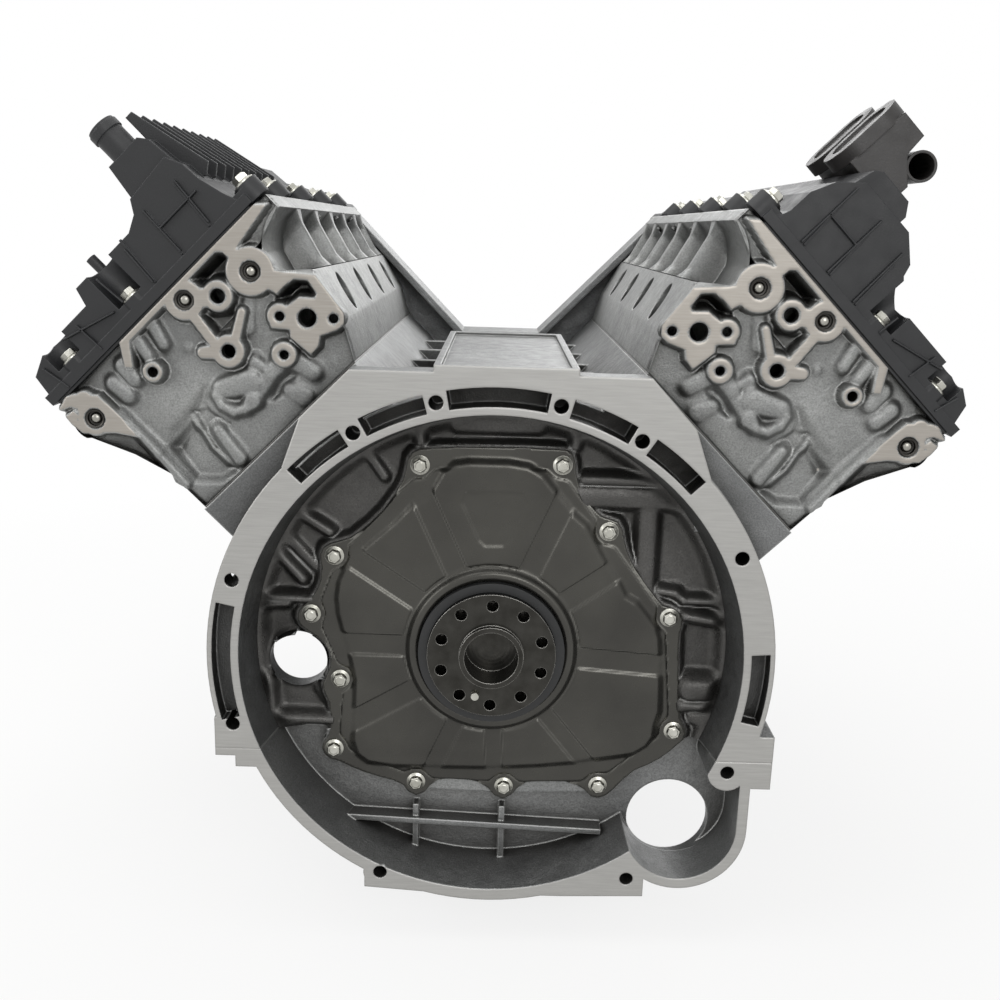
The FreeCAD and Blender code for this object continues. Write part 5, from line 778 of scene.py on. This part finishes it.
def boltTree():
    tree = bpy.data.node_groups.new("flanged bolts", "GeometryNodeTree")
    sockets = tree.interface
    sockets.new_socket("Seats", in_out="INPUT", socket_type="NodeSocketGeometry")
    for label, size in (("Head Radius", 5.5), ("Head Height", 5.0), ("Flange Radius", 7.5),
                        ("Flange Height", 1.8), ("Dish Radius", 3.4)):
        sockets.new_socket(label, in_out="INPUT", socket_type="NodeSocketFloat").default_value = size * mm
    sockets.new_socket("Seed", in_out="INPUT", socket_type="NodeSocketInt")
    sockets.new_socket("Finish", in_out="INPUT", socket_type="NodeSocketMaterial")
    sockets.new_socket("Bolts", in_out="OUTPUT", socket_type="NodeSocketGeometry")
    given = addNode(tree, "NodeGroupInput").outputs

    def ring(sides, lowR, highR, low, high, cap="NONE"):
        shell = addNode(tree, "GeometryNodeMeshCone", {"fill_type": cap, "Vertices": sides},
                        {"Radius Top": highR, "Radius Bottom": lowR, "Depth": calc(tree, "SUBTRACT", high, low)})
        shift = addNode(tree, "ShaderNodeCombineXYZ")
        tree.links.new(low, shift.inputs["Z"])
        return addNode(tree, "GeometryNodeTransform", None,
                       {"Geometry": shell.outputs["Mesh"], "Translation": shift.outputs[0]}).outputs[0]

    top = given["Head Height"]
    zero = calc(tree, "MULTIPLY", top, 0.0)
    chamfer = calc(tree, "SUBTRACT", top, boltShape["chamfer"] * mm)
    narrow = calc(tree, "MULTIPLY", given["Head Radius"], boltShape["narrow"])
    lip = calc(tree, "MULTIPLY", given["Flange Height"], boltShape["lip"])
    dishR = given["Dish Radius"]
    dishTopR = calc(tree, "MULTIPLY", dishR, boltShape["dishTop"])
    dishTop = calc(tree, "ADD", top, boltShape["dishRise"] * mm)
    parts = [
        ring(32, given["Flange Radius"], given["Flange Radius"], zero, lip, "NGON"),
        ring(32, given["Flange Radius"], given["Head Radius"], lip, given["Flange Height"]),
        ring(6, given["Head Radius"], given["Head Radius"], lip, chamfer),
        ring(6, given["Head Radius"], narrow, chamfer, top, "NGON"),
        ring(20, dishR, dishTopR, top, dishTop, "NGON"),
    ]
    joined = addNode(tree, "GeometryNodeJoinGeometry")
    for part in parts:
        tree.links.new(part, joined.inputs[0])
    axis = addNode(tree, "GeometryNodeInputNamedAttribute", {"data_type": "FLOAT_VECTOR", "Name": "axis"})
    facing = addNode(tree, "FunctionNodeAlignRotationToVector", {"axis": "Z"}, {"Vector": axis.outputs[0]})
    spin = addNode(tree, "FunctionNodeRandomValue", {"data_type": "FLOAT", 2: 0.0, 3: fullTurn},
                   {"Seed": given["Seed"]}).outputs[1]
    twist = addNode(tree, "FunctionNodeAxisAngleToRotation", {"Axis": (0, 0, 1)}, {"Angle": spin})
    aimed = addNode(tree, "FunctionNodeRotateRotation", {"rotation_space": "LOCAL"},
                    {"Rotation": facing.outputs[0], "Rotate By": twist.outputs[0]})
    planted = addNode(tree, "GeometryNodeInstanceOnPoints", None,
                     {"Points": given["Seats"], "Instance": joined.outputs[0], "Rotation": aimed.outputs[0]})
    real = addNode(tree, "GeometryNodeRealizeInstances", None, {"Geometry": planted.outputs[0]})
    dressed = addNode(tree, "GeometryNodeSetMaterial", None,
                      {"Geometry": real.outputs[0], "Material": given["Finish"]})
    addNode(tree, "NodeGroupOutput", None, {"Bolts": dressed.outputs[0]})
    return tree


boltField = boltTree()


def plantBolts(name, seats, axes, sizes, finish, node):
    cloud = bpy.data.meshes.new(name + " seats")
    cloud.from_pydata([tuple(seat) for seat in seats], [], [])
    cloud.attributes.new("axis", "FLOAT_VECTOR", "POINT").data.foreach_set("vector", np.ravel(axes))
    holder = heldObject(name, cloud)
    field = holder.modifiers.new("bolts", "NODES")
    field.node_group = boltField
    values = dict({label: size * mm for label, size in sizes.items()}, Seed=len(seats), Finish=finishes[finish])
    for socket in boltField.interface.items_tree:
        if socket.in_out == "INPUT" and socket.name in values:
            field[socket.identifier] = values[socket.name]
    makePiece(name, settle(holder), finish, finish, (node,))


def solidsOf(node):                   # the corner points of each separate solid of a CAD node
    shape = bmesh.new()
    shape.from_mesh(nodes[node].data)
    bmesh.ops.remove_doubles(shape, verts=shape.verts, dist=1e-6)
    left = dict.fromkeys(shape.verts)          # keeps the corners' order, so that each run is the same
    while left:
        found, rim = [], [left.popitem()[0]]
        while rim:
            found.append(rim.pop())
            for edge in found[-1].link_edges:
                other = edge.other_vert(found[-1])
                if other in left:
                    del left[other]
                    rim.append(other)
        yield np.array([corner.co for corner in found])
    shape.free()


def boltSeats(node, axisFor, headHeight):
    seats, axes = [], []
    for corners in solidsOf(node):
        axis = np.array(axisFor(corners.mean(0)))
        reach = corners @ axis
        top = corners[reach > reach.max() - 1e-5].mean(0)
        seats.append(top - axis * headHeight * mm)
        axes.append(axis)
    return seats, axes


def bankAxis(place):
    return (math.copysign(halfRoot, place[0]), 0, halfRoot)


coverBoltSizes = {"Head Radius": 5.4, "Head Height": 5.6, "Flange Radius": 7.3, "Flange Height": 2.4,
                  "Dish Radius": 3.5}
seats = [(x * mm, sealCover["boltSeat"] * mm, z * mm) for x, z in coverBolts]
plantBolts("seal_cover_screws", seats, [(0, -1, 0)] * len(seats), coverBoltSizes, "zinc_steel", "seal_cover_bolts")
caseBoltSizes = {"Head Radius": 7, "Head Height": 7, "Flange Radius": 9, "Flange Height": 2.2, "Dish Radius": 4.6}
otherBolts = {
    "cover_bolts": (bankAxis, {"Head Radius": 6, "Head Height": 7, "Flange Radius": 8.5, "Flange Height": 2.6,
                               "Dish Radius": 3.8}),
    "sump_bolts": (lambda place: (0, 0, -1), caseBoltSizes),
    "timing_cover_bolts": (lambda place: (0, 1, 0), caseBoltSizes),
}
slotOf = {part["node"]: part["material_slot"] for part in frame["record"]["subparts"]}
for node, (axisFor, sizes) in otherBolts.items():
    seats, axes = boltSeats(node, axisFor, sizes["Head Height"])
    plantBolts(node.replace("bolts", "screws"), seats, axes, sizes, slotOf[node], node)
print("bolts planted")


# Floor, soft studio light and the white background
def seenDirectly(tree):               # 1 for what the camera sees, also in gloss and through glass
    paths = addNode(tree, "ShaderNodeLightPath").outputs
    plain = calc(tree, "MAXIMUM", paths["Is Camera Ray"], paths["Is Glossy Ray"])
    return calc(tree, "MAXIMUM", plain, paths["Is Transmission Ray"])


floorMesh = bpy.data.meshes.new("floor")
floorZ = cadBox[0].z
far = 12
corners = [(-far, -far, floorZ), (far, -far, floorZ), (far, far, floorZ), (-far, far, floorZ)]
floorMesh.from_pydata(corners, [], [(0, 1, 2, 3)])
floor = bpy.data.objects.new("floor", floorMesh)
scene.collection.objects.link(floor)
floorMaterial = bpy.data.materials.new("pale studio floor")
floorMaterial.use_nodes = True
tree = floorMaterial.node_tree
tree.nodes.clear()
matt = addNode(tree, "ShaderNodeBsdfDiffuse", {"Color": linear("eeeeec")}).outputs[0]
bright = addNode(tree, "ShaderNodeEmission", {"Color": (1, 1, 1, 1), "Strength": 1.0}).outputs[0]
place = addNode(tree, "ShaderNodeTexCoord").outputs["Object"]
away = addNode(tree, "ShaderNodeVectorMath", {"operation": "LENGTH"}, {0: place}).outputs["Value"]
fade = spread(tree, away, 0.82, 1.0, 0.45, 1.6)       # the floor turns into the white background
shown = calc(tree, "MULTIPLY", seenDirectly(tree), fade)
mixed = addNode(tree, "ShaderNodeMixShader", links={0: shown, 1: matt, 2: bright})
addNode(tree, "ShaderNodeOutputMaterial", links={"Surface": mixed.outputs[0]})
floor.data.materials.append(floorMaterial)

world = bpy.data.worlds.new("studio")
scene.world = world
world.use_nodes = True
tree = world.node_tree
tree.nodes.clear()
soft = addNode(tree, "ShaderNodeBackground", {"Color": (1, 1, 1, 1), "Strength": 0.45}).outputs[0]
white = addNode(tree, "ShaderNodeBackground", {"Color": (1, 1, 1, 1), "Strength": 1.0}).outputs[0]
mixed = addNode(tree, "ShaderNodeMixShader", links={0: seenDirectly(tree), 1: soft, 2: white})
addNode(tree, "ShaderNodeOutputWorld", links={"Surface": mixed.outputs[0]})

lamps = {"overhead": ((-0.3, 0.1, 1.6), (0, 0.2, 0), 1.6, 14), "front": ((0.5, -1.9, 1.1), (0, 0, 0.1), 1.2, 16),
         "left": ((-1.7, -0.6, 0.8), (0, 0.2, 0.1), 1.0, 9), "behind": ((0.6, 2.0, 1.2), (0, 0.3, 0.1), 1.2, 10)}
for name, (place, aim, size, power) in lamps.items():
    lampData = bpy.data.lights.new(name, "AREA")
    lampData.shape = "SQUARE"
    lampData.size, lampData.energy = size, power
    lamp = bpy.data.objects.new(name, lampData)
    lamp.location = place
    lamp.rotation_euler = (Vector(aim) - Vector(place)).to_track_quat("-Z", "Y").to_euler()
    scene.collection.objects.link(lamp)
